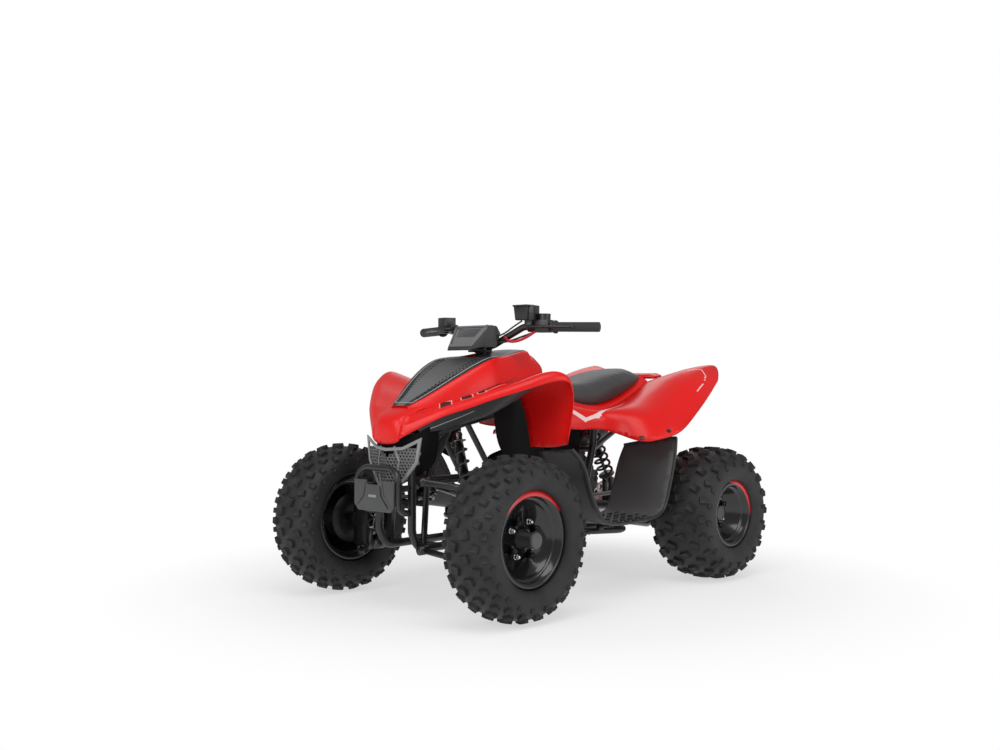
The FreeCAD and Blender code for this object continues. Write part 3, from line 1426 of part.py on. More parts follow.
def front_body():
    """The hood and both front fenders, one moulding."""
    hood, fender = front_skins(s.skin)
    hole = block(at(COLUMN_HOLE_SHARE), s.column_hole_length, s.column_hole_width,
                 s.column_hole_length)
    solid("front_body", joined([hood, fender, flip(fender)]).cut(hole))



REAR_BODY_SHARES = [
    [(.1068, .2286, .8187), (.1068, .2857, .8), (.1068, .3286, .765), (.1068, .3476, .7225),
     (.1068, .3381, .6813)],
    [(0, .2667, .79), (0, .3333, .775), (0, .4, .7475), (0, .4429, .7025), (0, .4524, .66)],
    [(-.0971, .281, .745), (-.0971, .3929, .7475), (-.1019, .4714, .7325), (-.1019, .4952, .7),
     (-.1019, .481, .6625)],
    [(-.1456, .2857, .735), (-.1456, .4238, .745), (-.1456, .5286, .7325), (-.1437, .5714, .695),
     (-.1379, .5667, .65)],
    [(-.1942, .2905, .73), (-.1942, .4571, .75), (-.1942, .6238, .7475), (-.1786, .7762, .7),
     (-.1573, .8286, .6075)],
    [(-.2913, .3, .755), (-.2913, .4667, .7775), (-.2913, .6548, .7725), (-.2767, .8381, .7188),
     (-.2282, .919, .625)],
    [(-.3883, .3, .805), (-.3883, .4714, .8275), (-.3932, .6476, .8325), (-.3689, .8381, .7725),
     (-.2816, .9952, .65)],
    [(-.4854, .281, .86), (-.4854, .4571, .885), (-.4951, .6095, .8975), (-.4757, .7857, .86),
     (-.3883, .9643, .725)],
    [(-.5825, .2381, .875), (-.5825, .4286, .905), (-.5922, .6095, .9325), (-.5825, .7381, .9025),
     (-.5049, .9, .8)],
    [(-.6311, .2143, .88), (-.6427, .4286, .9125), (-.668, .6667, .9425), (-.6777, .7262, .91),
     (-.6214, .7976, .8625)],
]


TAIL_DECK_SHARES = [
    [(-.5204, .2905, .8712), (-.5204, .2905, .8825), (-.5204, .2286, .89)],
    [(-.5942, .2524, .8738), (-.5942, .2524, .8875), (-.5942, .2, .8975)],
]


def tail_deck():
    """The deck between the tails, with a hole over the flag bracket."""
    wires = []
    for row in TAIL_DECK_SHARES:
        half = [at(place) for place in row]
        ring = half + [flipped(place) for place in reversed(half)]
        wires.append(Part.makePolygon(ring + ring[:1]))
    place = flag_place()
    hole = rod(place, place + UP * s.flag_plate_length, s.deck_hole_radius)
    return Part.makeLoft(wires, True, True).cut(hole)


def rear_body():
    """The two rear panels with their fenders, and the tail's deck seated between them."""
    left = skin_of(grid(REAR_BODY_SHARES), s.skin)
    near = left.copy()
    near.translate(ALONG_Y * -s.gap)
    deck = tail_deck().cut([left, near, flip(left), flip(near)])
    deck = max(deck.Solids, key=lambda piece: piece.Volume)
    solid("rear_body", Part.makeCompound([left, flip(left), deck]))


def tail_lamp():
    """The lamp on the deck's end."""
    top = at(TAIL_DECK_SHARES[-1][-1])
    low = at(TAIL_DECK_SHARES[-1][0])
    solid("tail_lamp", block(Vector(top.x - s.gap - s.lamp_depth / 2, 0, (top.z + low.z) / 2),
                             s.lamp_depth, s.lamp_width, s.lamp_height))


SEAT_SHARES = [
    ((.0922, .1667, .8275), (.0922, .1952, .895), (.0922, .119, .93)),
    ((0, .219, .8063), (0, .2476, .85), (0, .1429, .885)),
    ((-.0971, .2667, .7662), (-.0971, .3048, .8175), (-.0971, .1905, .8575)),
    ((-.1942, .2905, .75), (-.1942, .3333, .8125), (-.1942, .2143, .8575)),
    ((-.2913, .2905, .77), (-.2913, .3429, .84), (-.2913, .219, .8825)),
    ((-.3883, .281, .815), (-.3883, .3286, .865), (-.3883, .2143, .905)),
    ((-.4563, .2524, .8575), (-.4563, .2952, .8825), (-.4563, .1905, .9125)),
    ((-.4932, .2143, .8812), (-.4932, .2476, .8925), (-.4932, .1476, .9025)),
]


def seat():
    """A closed seat, a loft of rounded sections, that rests on the frame's tubes."""
    wires = []
    for row in SEAT_SHARES:
        low, side, crown = [at(p) for p in row]
        middle = Vector(crown.x, 0, crown.z + s.seat_crown)
        poles = [low, side, crown, middle, flipped(crown), flipped(side), flipped(low)]
        curve = Part.BSplineCurve()
        knots, counts = knots_of(len(poles))
        curve.buildFromPolesMultsKnots(poles, counts, knots, False, DEGREE)
        wires.append(Part.Wire([curve.toShape(), Part.LineSegment(flipped(low), low).toShape()]))
    rests = both_sides([at(p) for p in UPPER_RAIL_SHARES], s.frame_tube + s.gap, s.frame_bend)
    for place in SEAT_CROSS_SHARES:
        end = at(place)
        rests.append(rod(end, flipped(end), s.brace_tube + s.gap))
    solid("seat", Part.makeLoft(wires, True, False).cut(joined(rests)))


FOOTWELL_SHARES = [
    [(.2311, .5619, .5975), (.233, .6786, .5988), (.2359, .7976, .6012), (.2388, .9167, .6062)],
    [(.1942, .5429, .55), (.1951, .6786, .5513), (.1961, .8095, .5537), (.1981, .9476, .5575)],
    [(.1553, .519, .4375), (.1602, .6667, .4387), (.167, .8095, .4425), (.1748, .9524, .4475)],
    [(.1146, .4881, .3275), (.1184, .6548, .3275), (.1262, .8214, .3287), (.134, .9762, .3325)],
    [(.068, .4524, .3), (.0728, .6429, .3), (.0825, .8333, .3), (.0951, 1, .3025)],
    [(-.0583, .419, .2975), (-.0583, .619, .2975), (-.0583, .8095, .2975), (-.0583, .9881, .3)],
    [(-.1942, .381, .3), (-.1942, .5714, .3), (-.1942, .7619, .3), (-.1942, .9286, .3038)],
    [(-.2388, .3381, .335), (-.2388, .5119, .335), (-.2388, .7143, .3375), (-.2388, .9143, .3425)],
    [(-.268, .3381, .4375), (-.268, .5119, .44), (-.266, .7143, .4475), (-.2621, .9286, .455)],
    [(-.2913, .3476, .5312), (-.2893, .5286, .54), (-.2854, .7333, .55), (-.2816, .9381, .56)],
    [(-.3029, .381, .5825), (-.301, .5524, .6), (-.2961, .75, .6162), (-.2913, .9238, .625)],
]


def footwells():
    """Each foot's leg guard, floor and heel guard, one moulding."""
    pair("footwells", skin_of(grid(FOOTWELL_SHARES), s.skin))


FOOT_BAR_SHARES = [
    (.1146, .2071, .2375), (.1146, .2667, .2375), (.1068, .4762, .2625), (.0922, .7857, .27),
    (-.0097, .8857, .2675),
    (-.0583, .8333, .2675), (-.0816, .5476, .2625), (-.0544, .2667, .2375), (-.0544, .2071, .2375),
]


FLOOR_PAD_SHARES = [[(.0583, .8214, .27), (.0583, .8214, .35)], [(-.0641, .7143, .2675),
                                                                 (-.0641, .7143, .35)]]


def foot_bars():
    """The steel bars under the foot floors."""
    bar = tube([at(p) for p in FOOT_BAR_SHARES], s.brace_tube, s.frame_bend)
    floor = skin_of(grid(FOOTWELL_SHARES), s.skin + s.gap)
    pads = [stay(floor, route, s.pad_radius) for route in FLOOR_PAD_SHARES]
    pair("foot_bars", joined([bar] + pads))



BUMPER_SHARES = [(.6165, .1762, .375), (.633, .1762, .375), (.672, .219, .395), (.672, .219, .515),
                 (.668, .1429, .5425)]
BUMPER_STAY_SHARES = [(.6165, .1762, .4675), (.633, .1762, .4675), (.6709, .2143, .4675)]


NOTCH_FLOOR_SHARE = 0.7
BUMPER_PLATE_SHARE = (.6807, 0, .44)


def bumper():
    """The steel bumper hoop and its plastic plate."""
    half = [at(p) for p in BUMPER_SHARES]
    hoop = tube([flipped(p) for p in half] + list(reversed(half)), s.brace_tube, s.frame_bend)
    stays = both_sides([at(p) for p in BUMPER_STAY_SHARES], s.brace_tube, s.frame_bend)
    solid("front_bumper", joined([hoop] + stays))
    plate = body("bumper_plate")
    front = sketch_on(plate, "bumper_plate_outline", "YZ_Plane")
    wide = s.bumper_plate_width / 2
    tall = s.bumper_plate_height / 2
    notch = s.bumper_notch_width / 2
    floor = notch * NOTCH_FLOOR_SHARE
    outline(front, [
        (-wide + s.bumper_chamfer, -tall), (wide - s.bumper_chamfer, -tall),
        (wide, -tall + s.bumper_chamfer), (wide, tall), (notch, tall),
        (floor, tall - s.bumper_notch_depth), (-floor, tall - s.bumper_notch_depth),
        (-notch, tall), (-wide, tall), (-wide, -tall + s.bumper_chamfer)])
    feature(plate, "Pad", "bumper_plate_pad", front, Length=s.bumper_plate_sheet)
    put(plate, at(BUMPER_PLATE_SHARE).x, 0, at(BUMPER_PLATE_SHARE).z, ALONG_Y, 0)


GRILLE_SHARES = [(0, 0, .6188), (0, .1476, .6212), (0, .2952, .6613), (0, .2667, .5625), (0, .1714, .5),
                 (0, .1, .46), (0, 0, .4575)]
GRILLE_FOLD_SHARES = [(.6447, 0, 0), (.6117, .2952, 0)]


def grille_fold(wall):
    """The folded sheet that the grille is cut from, standing over the ground."""
    middle, edge = [at(place) for place in GRILLE_FOLD_SHARES]
    front = [edge, middle, flipped(edge)]
    back = [place - ALONG_X * wall for place in reversed(front)]
    ring = front + back
    return Part.Face(Part.makePolygon(ring + ring[:1])).extrude(UP * s.body_height)


def grille_cell(middle):
    """One cell of the honeycomb, seen from the front."""
    radius = (s.grille_cell - s.grille_bar) / 2
    corners = []
    for corner in range(SIDES + 1):
        angle = math.radians(corner * SIXTH_TURN + SIXTH_TURN / 2)
        corners.append(middle + (ALONG_Y * math.cos(angle) + UP * math.sin(angle)) * radius)
    return Part.Face(Part.makePolygon(corners))


def grille():
    """The grille: a folded sheet with a honeycomb of through cells."""
    half = [at(place) for place in GRILLE_SHARES]
    ring = half + [flipped(place) for place in reversed(half[1:-1])]
    face = Part.Face(Part.makePolygon(ring + ring[:1]))
    inside = face.makeOffset2D(-s.grille_rim)
    rise = s.grille_cell * math.cos(math.radians(SIXTH_TURN / 2))
    low = half[-1].z
    rows = int((half[2].z - low) / rise)
    reach = int(half[2].y / s.grille_cell) + 1
    cells = []
    for row in range(rows):
        for column in range(-reach, reach + 1):
            middle = Vector(0, (column + row % 2 * HALF) * s.grille_cell, low + row * rise)
            cell = grille_cell(middle)
            if cell.cut(inside).Area < s.gap:
                cells.append(cell)
    sheet_face = face.cut(Part.makeCompound(cells))
    solid("grille", sheet_face.extrude(ALONG_X * s.wheelbase).common(grille_fold(s.grille_depth)))


FENDER_TRIM_SHARES = [
    [(.6097, .2, .7), (.6019, .2143, .69), (.5903, .2381, .675)],
    [(.565, .3238, .735), (.5573, .3143, .71), (.5379, .319, .68)],
    [(.5068, .4952, .77), (.501, .4667, .74), (.4854, .4286, .7075)],
    [(.4524, .6238, .8075), (.4485, .5857, .7725), (.4388, .5357, .735)],
    [(.3864, .7762, .8425), (.3903, .6905, .8063), (.3942, .5952, .7662)],
    [(.3398, .8381, .86), (.3476, .7571, .8325), (.3592, .6548, .7975)],
]


def fender_trims():
    """The dark guards under the front fenders' edges."""
    pair("fender_trims", skin_of(grid(FENDER_TRIM_SHARES), s.skin))


POD_SHARES = [(.3417, 0, .9875), (.335, 0, 1.005), (.2748, 0, 1.09), (.2505, 0, 1.085),
              (.2194, 0, 1.0575),
              (.2544, 0, 1.0075), (.2544, 0, 1), (.301, 0, 1)]
POD_PLAN_SHARES = [(.3437, .1238, 0), (.2544, .2, 0), (.2155, .1571, 0)]


def instrument_pod():
    """The instrument pod: its side outline and its plan outline, cut out of each other."""
    side = [at(p) for p in POD_SHARES]
    plan = [at(p) for p in POD_PLAN_SHARES]
    plan += [flipped(p) for p in reversed(plan)]
    reach = at(POD_PLAN_SHARES[1]).y
    slab = Part.Face(Part.makePolygon(side + side[:1])).extrude(ALONG_Y * (reach * 2))
    slab.translate(ALONG_Y * -reach)
    column = Part.Face(Part.makePolygon(plan + plan[:1])).extrude(UP * s.body_height * 2)
    solid("instrument_pod", slab.common(column))


def flag_place():
    """The middle of the flag bracket's hole."""
    tail = at(TAIL_CROSS_SHARE)
    return Vector(tail.x - s.brace_tube - s.gap - s.flag_plate_length / 2, 0, tail.z)


def flag_bracket():
    """The drilled plate on the tail for a safety flag."""
    place = flag_place()
    plate = primitive("Box", "flag_plate", Length=s.flag_plate_length,
                      Width=s.flag_plate_width, Height=s.ear_sheet)
    put(plate, place.x - s.flag_plate_length / 2, place.y - s.flag_plate_width / 2, place.z)
    drill = primitive("Cylinder", "flag_hole", Radius=s.flag_hole_radius, Height=s.ear_sheet * 2)
    put(drill, place.x, place.y, place.z - s.ear_sheet / 2)
    cut_away("flag_bracket", plate, drill)


wheels()
front_hub()
knuckle()
tie_rods()
steering_column()
handlebar()
controls()
frame()
arms()
shocks()
swingarm()
rear_axle()
chain()
engine()
exhaust()
intake()
front_body()
rear_body()
tail_lamp()
seat()
footwells()
foot_bars()
bumper()
grille()
fender_trims()
instrument_pod()
flag_bracket()

document.recompute()

for thing in document.Objects:
    if "Invalid" in thing.State or "Error" in thing.State:
        raise RuntimeError(f"{thing.Label} failed: {thing.State}")
for thing in NODES:
    if thing.Shape.isNull() or not thing.Shape.isValid():
        raise RuntimeError(f"{thing.Label} has no valid shape")

os.makedirs("parts", exist_ok=True)
for thing in NODES:
    thing.Shape.exportStep(os.path.join("parts", thing.Label + ".step"))
    print(thing.Label, len(thing.Shape.Solids), round(thing.Shape.Volume / 1000, 1))
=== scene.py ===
import math

import bpy
from bpy.props import FloatProperty, FloatVectorProperty, IntProperty, PointerProperty
from mathutils import Matrix, Vector


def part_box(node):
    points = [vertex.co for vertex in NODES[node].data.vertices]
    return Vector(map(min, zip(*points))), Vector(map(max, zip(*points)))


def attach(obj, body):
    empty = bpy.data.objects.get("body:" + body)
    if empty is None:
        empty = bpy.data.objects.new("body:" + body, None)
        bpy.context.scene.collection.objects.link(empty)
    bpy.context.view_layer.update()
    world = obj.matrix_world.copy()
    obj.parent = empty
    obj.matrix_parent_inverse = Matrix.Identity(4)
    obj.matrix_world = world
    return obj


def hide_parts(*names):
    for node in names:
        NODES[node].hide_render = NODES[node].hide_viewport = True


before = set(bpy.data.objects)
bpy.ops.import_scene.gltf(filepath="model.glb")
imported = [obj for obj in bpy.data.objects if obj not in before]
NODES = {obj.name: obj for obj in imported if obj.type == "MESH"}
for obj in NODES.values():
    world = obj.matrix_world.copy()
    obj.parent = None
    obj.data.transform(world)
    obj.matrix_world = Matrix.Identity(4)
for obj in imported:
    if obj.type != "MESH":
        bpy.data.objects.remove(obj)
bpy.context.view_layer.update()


bl_info = {
    "name": "Youth sport quad bike",
    "version": (1, 0, 0),
    "blender": (4, 5, 0),
    "location": "View3D > Sidebar > Quad",
    "description": "Dresses the jointed quad bike's frame: tyres, panels, seat and finishes",
    "category": "Object",
}

SIDES = (("left", 1), ("right", -1))
FULL_TURN = 2 * math.pi


class QuadPaint(bpy.types.PropertyGroup):
    red: FloatVectorProperty(
        name="Red", description="Moulded body colour", subtype="COLOR", size=4,
        default=(0.72, 0.006, 0.005, 1))
    stripe: FloatVectorProperty(
        name="Stripe", description="Pale stripe on the side panels", subtype="COLOR", size=4,
        default=(0.80, 0.62, 0.60, 1))
    plastic: FloatVectorProperty(
        name="Plastic", description="Dark moulded plastic", subtype="COLOR", size=4,
        default=(0.030, 0.0305, 0.032, 1))
    rubber: FloatVectorProperty(
        name="Rubber", description="Tyre rubber", subtype="COLOR", size=4,
        default=(0.023, 0.023, 0.024, 1))
    vinyl: FloatVectorProperty(
        name="Vinyl", description="Seat cover", subtype="COLOR", size=4,
        default=(0.045, 0.046, 0.049, 1))


class QuadTyre(bpy.types.PropertyGroup):
    around: IntProperty(
        name="Steps", description="Steps of the carcass round the axle", default=132)
    front_lugs: IntProperty(name="Front lugs", description="Lugs in a row", default=22)
    rear_lugs: IntProperty(name="Rear lugs", description="Lugs in a row", default=20)
    lug_height: FloatProperty(
        name="Lug height", description="Crown lugs above the carcass", default=0.0095,
        subtype="DISTANCE")
    rib: FloatProperty(
        name="Rib", description="Raised ring on the sidewall", default=0.0014,
        subtype="DISTANCE")


class QuadSeat(bpy.types.PropertyGroup):
    voxel: FloatProperty(
        name="Voxel", description="Remesh size of the padding", default=0.006,
        subtype="DISTANCE")
    inset: FloatProperty(
        name="Inset", description="Start of the padding inside its solid", default=0.0045,
        subtype="DISTANCE")
    swell: FloatProperty(
        name="Swell", description="Furthest that the padding moves", default=0.007,
        subtype="DISTANCE")
    pressure: FloatProperty(name="Pressure", description="Pressure in the padding", default=4.0)
    frames: IntProperty(name="Frames", description="Frames of the cloth pass", default=20)


# Modelling by hand, in code


def alone(piece=None):
    """Deselects all, and makes one piece the active and only selected one."""
    bpy.ops.object.select_all(action="DESELECT")
    if piece is not None:
        bpy.context.view_layer.objects.active = piece
        piece.select_set(True)
    return piece


def opened(piece, kind="FACE", action="SELECT"):
    """Opens a piece in edit mode with all or nothing of it selected."""
    alone(piece)
    bpy.ops.object.mode_set(mode="EDIT")
    bpy.ops.mesh.select_mode(type=kind)
    bpy.ops.mesh.select_all(action=action)


def shut():
    bpy.ops.object.mode_set(mode="OBJECT")


def chosen(piece, test):
    """Opens a piece with the faces selected whose middle and normal pass a test."""
    opened(piece, action="DESELECT")
    shut()
    for face in piece.data.polygons:
        face.select = bool(test(face.center, face.normal))
    bpy.ops.object.mode_set(mode="EDIT")


def pressed(piece, test, *steps):
    """Insets and then moves the faces that pass a test, once for each step."""
    chosen(piece, test)
    for thickness, move in steps:
        bpy.ops.mesh.inset(thickness=thickness)
        bpy.ops.transform.translate(value=move)
    shut()


def settled(piece):
    """Moves a piece's place, turn and scale into its mesh."""
    alone(piece)
    bpy.ops.object.transform_apply(location=True, rotation=True, scale=True)
    return piece


def named(name):
    piece = bpy.context.active_object
    piece.name = name
    piece.data.name = name
    return piece


def cube(name, place, size):
    alone()
    bpy.ops.mesh.primitive_cube_add(size=1, location=place, scale=size)
    return settled(named(name))


def round_bar(name, place, radius, depth, vertices):
    alone()
    bpy.ops.mesh.primitive_cylinder_add(vertices=vertices, radius=radius, depth=depth,
                                        location=place)
    return settled(named(name))


def drawn(name, points):
    """A closed outline through points, drawn by extruding one point along each step."""
    alone()
    bpy.ops.mesh.primitive_plane_add(size=0.001)
    piece = named(name)
    opened(piece, "VERT")
    bpy.ops.mesh.merge(type="CENTER")
    bpy.ops.transform.translate(value=Vector(points[0]))
    for start, end in zip(points, points[1:]):
        step = Vector(end) - Vector(start)
        bpy.ops.mesh.extrude_region_move(TRANSFORM_OT_translate={"value": step})
    bpy.ops.mesh.select_all(action="SELECT")
    bpy.ops.mesh.edge_face_add()
    bpy.ops.mesh.select_mode(type="FACE")
    bpy.ops.mesh.select_all(action="SELECT")
    bpy.ops.mesh.delete(type="ONLY_FACE")
    shut()
    return piece


def plate_of(name, points, depth):
    """A flat plate with a drawn outline, extruded by a vector."""
    piece = drawn(name, points)
    opened(piece, "EDGE")
    bpy.ops.mesh.edge_face_add()
    bpy.ops.mesh.select_all(action="SELECT")
    bpy.ops.mesh.extrude_region_move(TRANSFORM_OT_translate={"value": Vector(depth)})
    bpy.ops.mesh.select_all(action="SELECT")
    bpy.ops.mesh.normals_make_consistent(inside=False)
    shut()
    return piece


def spun(piece, steps):
    """Turns a drawn outline all the way round the Y axis and closes it."""
    opened(piece, "VERT")
    bpy.ops.mesh.spin(steps=steps, angle=FULL_TURN, center=(0, 0, 0), axis=(0, 1, 0))
    bpy.ops.mesh.select_all(action="SELECT")
    bpy.ops.mesh.remove_doubles(threshold=0.00002)
    bpy.ops.mesh.normals_make_consistent(inside=False)
    shut()
    return piece


def shaped(piece, kind, **settings):
    """Adds one modifier and applies it."""
    alone(piece)
    modifier = piece.modifiers.new(kind.lower(), kind)
    for key, value in settings.items():
        setattr(modifier, key, value)
    bpy.ops.object.modifier_apply(modifier=modifier.name)
    return piece


def bevelled(piece, width, segments=2):
    return shaped(piece, "BEVEL", width=width, segments=segments, limit_method="ANGLE",
                  angle_limit=math.radians(30))


def copied(piece, name, matrix=None):
    """A copy of a piece with its own mesh, moved by a matrix."""
    twin = piece.copy()
    twin.data = piece.data.copy()
    twin.name = name
    twin.data.name = name
    bpy.context.scene.collection.objects.link(twin)
    if matrix is not None:
        twin.data.transform(matrix)
    return twin


def merged(pieces, name):
    """Joins pieces into the first one."""
    alone(pieces[0])
    for piece in pieces[1:]:
        piece.select_set(True)
    if len(pieces) > 1:
        bpy.ops.object.join()
    return named(name)


def repeated(block, name, places):
    """One piece made of a block's copies, one at each matrix."""
    return merged([copied(block, name, place) for place in places], name)


def thrown_away(piece):
    bpy.data.objects.remove(piece)


def smoothed(piece, angle=35):
    alone(piece)
    bpy.ops.object.shade_smooth_by_angle(angle=math.radians(angle))
    return piece


def finished(piece, body, finish, replaced=(), angle=35):
    """A piece's last steps: its shading, finish, body and the nodes it stands for."""
    smoothed(piece, angle)
    piece.data.materials.clear()
    piece.data.materials.append(bpy.data.materials[finish])
    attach(piece, body)
    if replaced:
        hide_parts(*replaced)
    return piece


HALF_TURN = Matrix.Rotation(math.pi, 4, "Z")


# Materials


class Socket:
    """A shader value or colour; sums on a value add Math nodes."""

    def __init__(self, finish, end):
        self.finish = finish
        self.end = end

    def sum_of(self, operation, first, second):
        return self.finish.add("ShaderNodeMath", {"operation": operation}, [first, second])

    def __add__(self, other):
        return self.sum_of("ADD", self, other)

    def __radd__(self, other):
        return self.sum_of("ADD", other, self)

    def __sub__(self, other):
        return self.sum_of("SUBTRACT", self, other)

    def __rsub__(self, other):
        return self.sum_of("SUBTRACT", other, self)

    def __mul__(self, other):
        return self.sum_of("MULTIPLY", self, other)

    def __truediv__(self, other):
        return self.sum_of("DIVIDE", self, other)

    def __abs__(self):
        return self.math_of("ABSOLUTE")

    def math_of(self, operation):
        return self.finish.add("ShaderNodeMath", {"operation": operation}, [self])

    def root(self):
        return self.math_of("SQRT")

    def sine(self):
        return self.math_of("SINE")

    def between(self, low, high):
        """0 at low, 1 at high, smooth in between."""
        return self.finish.add("ShaderNodeMapRange", {"interpolation_type": "SMOOTHSTEP"},
                               {"Value": self, "From Min": low, "From Max": high})


class Finish:
    """A node material, built from expressions."""

    def __init__(self, name):
        self.material = bpy.data.materials.new(name)
        self.material.use_nodes = True
        self.tree = self.material.node_tree
        self.tree.nodes.clear()
        self.output = self.tree.nodes.new("ShaderNodeOutputMaterial")
        self.shader = self.tree.nodes.new("ShaderNodeBsdfPrincipled")
        self.tree.links.new(self.shader.outputs[0], self.output.inputs[0])

    def feed(self, target, value):
        if isinstance(value, Socket):
            self.tree.links.new(value.end, target)
        else:
            target.default_value = value

    def add(self, kind, settings=None, values=(), output=0):
        """Adds a node: its settings first, then the values or links of its sockets."""
        node = self.tree.nodes.new(kind)
        for key, value in (settings or {}).items():
            setattr(node, key, value)
        pairs = values.items() if isinstance(values, dict) else enumerate(values)
        for key, value in pairs:
            self.feed(node.inputs[key], value)
        return Socket(self, node.outputs[output])

    def place(self):
        """Object coordinates, as a vector."""
        return self.add("ShaderNodeTexCoord", output="Object")

    def split(self, vector):
        node = self.tree.nodes.new("ShaderNodeSeparateXYZ")
        self.feed(node.inputs[0], vector)
        return [Socket(self, end) for end in node.outputs]

    def noise(self, scale, detail=2.0, rough=0.5):
        return self.add("ShaderNodeTexNoise", {},
                        {"Vector": self.place(), "Scale": scale, "Detail": detail,
                         "Roughness": rough})

    def cells(self, scale, feature="F1"):
        return self.add("ShaderNodeTexVoronoi", {"feature": feature},
                        {"Vector": self.place(), "Scale": scale}, output="Distance")

    def blend(self, factor, first, second):
        """A colour mix."""
        return self.add("ShaderNodeMix", {"data_type": "RGBA"},
                        {0: factor, 6: first, 7: second}, output=2)

    def bump(self, height, strength, distance):
        return self.add("ShaderNodeBump", {},
                        {"Strength": strength, "Distance": distance, "Height": height})

    def set(self, **sockets):
        for key, value in sockets.items():
            self.feed(self.shader.inputs[key.replace("_", " ")], value)
        return self


def shade(colour, share):
    """A colour made lighter or darker by a share."""
    return tuple(min(1.0, part * share) for part in colour[:3]) + (1,)


def paint():
    return bpy.context.scene.quad_paint


def moulded(name, colour, rough, grain=900.0, grain_strength=0.12, coat=0.0, gleam=0.45):
    """Injection-moulded plastic: a fine grain, faint clouding and a satin to gloss skin."""
    finish = Finish(name)
    cloud = finish.noise(7.0, 3.0)
    fine = finish.noise(grain, 2.0, 0.6)
    tint = finish.blend(cloud.between(0.35, 0.7), shade(colour, 0.94), shade(colour, 1.06))
    finish.set(Base_Color=tint, Roughness=rough + (cloud - 0.5) * 0.10,
               Normal=finish.bump(fine, grain_strength, 0.0004), Specular_IOR_Level=gleam)
    if coat:
        finish.set(Coat_Weight=coat, Coat_Roughness=0.08)
    return finish


def wide_bar(value, middle, half, soft=0.0006):
    """1 within a half width of a middle, 0 beyond."""
    return (abs(value - middle) - half).between(soft, -soft)


def stripe_between(x, z, start, end, half, soft=0.0007):
    """A straight stripe in the side view, from one point to another, with square ends."""
    run = Vector(end) - Vector(start)
    length = run.length
    along = run / length
    reach = (x - start[0]) * along.x + (z - start[1]) * along.y
    off = (x - start[0]) * -along.y + (z - start[1]) * along.x
    return (abs(off) - half).between(soft, -soft) * wide_bar(reach, length / 2, length / 2, soft)


def gloss_red(name="gloss_red", inked=None):
    """Red body plastic with a wet skin; inked adds printed marks as (mask, colour) pairs."""
    colour = paint().red
    finish = Finish(name)
    cloud = finish.noise(5.0, 2.0)
    peel = finish.noise(160.0, 2.0)
    fine = finish.noise(1500.0, 1.0)
    tint = finish.blend(cloud.between(0.3, 0.7), shade(colour, 0.95), shade(colour, 1.05))
    for mask, ink in (inked(finish) if inked else ()):
        tint = finish.blend(mask, tint, ink)
    finish.set(Base_Color=tint, Roughness=0.34 + (fine - 0.5) * 0.08,
               Normal=finish.bump(peel, 0.08, 0.0006), Specular_IOR_Level=0.30,
               Coat_Weight=0.06, Coat_Roughness=0.16)
    return finish


# Stripes in the side view: where each starts and ends, and half its width
SEAT_STRIPE = (((-0.012, 0.590), (-0.058, 0.559), 0.0075),
               ((-0.048, 0.560), (-0.118, 0.580), 0.0060))
# Stripes in the plan view, over the panel's top and the tail
SEAT_RUN = (((-0.095, 0.2065), (-0.240, 0.190), 0.0050),
            ((-0.246, 0.189), (-0.262, 0.186), 0.0045), ((-0.268, 0.185), (-0.280, 0.183), 0.0030))
TAIL_CHEVRON = (((-0.560, 0.258), (-0.606, 0.285), 0.0018),
                ((-0.606, 0.285), (-0.588, 0.318), 0.0022),
                ((-0.584, 0.318), (-0.574, 0.322), 0.0022),
                ((-0.568, 0.326), (-0.562, 0.329), 0.0022),
                ((-0.540, 0.338), (-0.480, 0.352), 0.0016))


def side_marks(finish):
    """The rear panel's pale stripes, the same on both sides."""
    x, y, z = finish.split(finish.place())
    wide = abs(y)
    beside = wide.between(0.150, 0.152)
    marks = []
    for start, end, half in SEAT_STRIPE:
        marks.append((stripe_between(x, z, start, end, half) * beside, paint().stripe))
    for start, end, half in SEAT_RUN + TAIL_CHEVRON:
        marks.append((stripe_between(x, wide, start, end, half)
                      * z.between(0.565, 0.567), paint().stripe))
    return marks


# Marks in the plan view, over each fender's top: start, end, half width, and a pale ink or none
PALE_INK = (0.85, 0.40, 0.36, 1)
FENDER_MARKS = (((0.532, 0.079), (0.482, 0.100), 0.0011, PALE_INK),
                ((0.482, 0.100), (0.417, 0.124), 0.0011, PALE_INK),
                ((0.505, 0.098), (0.556, 0.152), 0.0200, PALE_INK),
                ((0.432, 0.112), (0.470, 0.158), 0.0200, PALE_INK),
                ((0.388, 0.128), (0.412, 0.166), 0.0150, PALE_INK),
                ((0.510, 0.103), (0.554, 0.149), 0.0165, None),
                ((0.437, 0.117), (0.468, 0.155), 0.0165, None),
                ((0.391, 0.132), (0.410, 0.163), 0.0115, None),
                ((0.396, 0.150), (0.300, 0.168), 0.0050, None),
                ((0.402, 0.166), (0.280, 0.184), 0.0014, PALE_INK))


def nose_marks(finish):
    """Slanted dark slashes with pale edges along each fender's ridge."""
    x, y, z = finish.split(finish.place())
    wide = abs(y)
    above = z.between(0.585, 0.587)
    marks = []
    dark = (0.012, 0.012, 0.012, 1)
    ahead_left = y.between(-0.001, 0.001)
    for start, end, half, ink in FENDER_MARKS:
        mask = stripe_between(x, wide, start, end, half) * above
        if start[0] > 0.50 and half > 0.01:
            mask = mask * ahead_left
        marks.append((mask, ink or dark))
    return marks


# The painted highlight along each fender trim's moulded ridge, in the side view: start, end and
# half width
TRIM_HIGHLIGHT = (((0.612, 0.541), (0.574, 0.558), 0.0012), ((0.574, 0.558), (0.526, 0.586), 0.0012),
             ((0.526, 0.586), (0.498, 0.604), 0.0010))


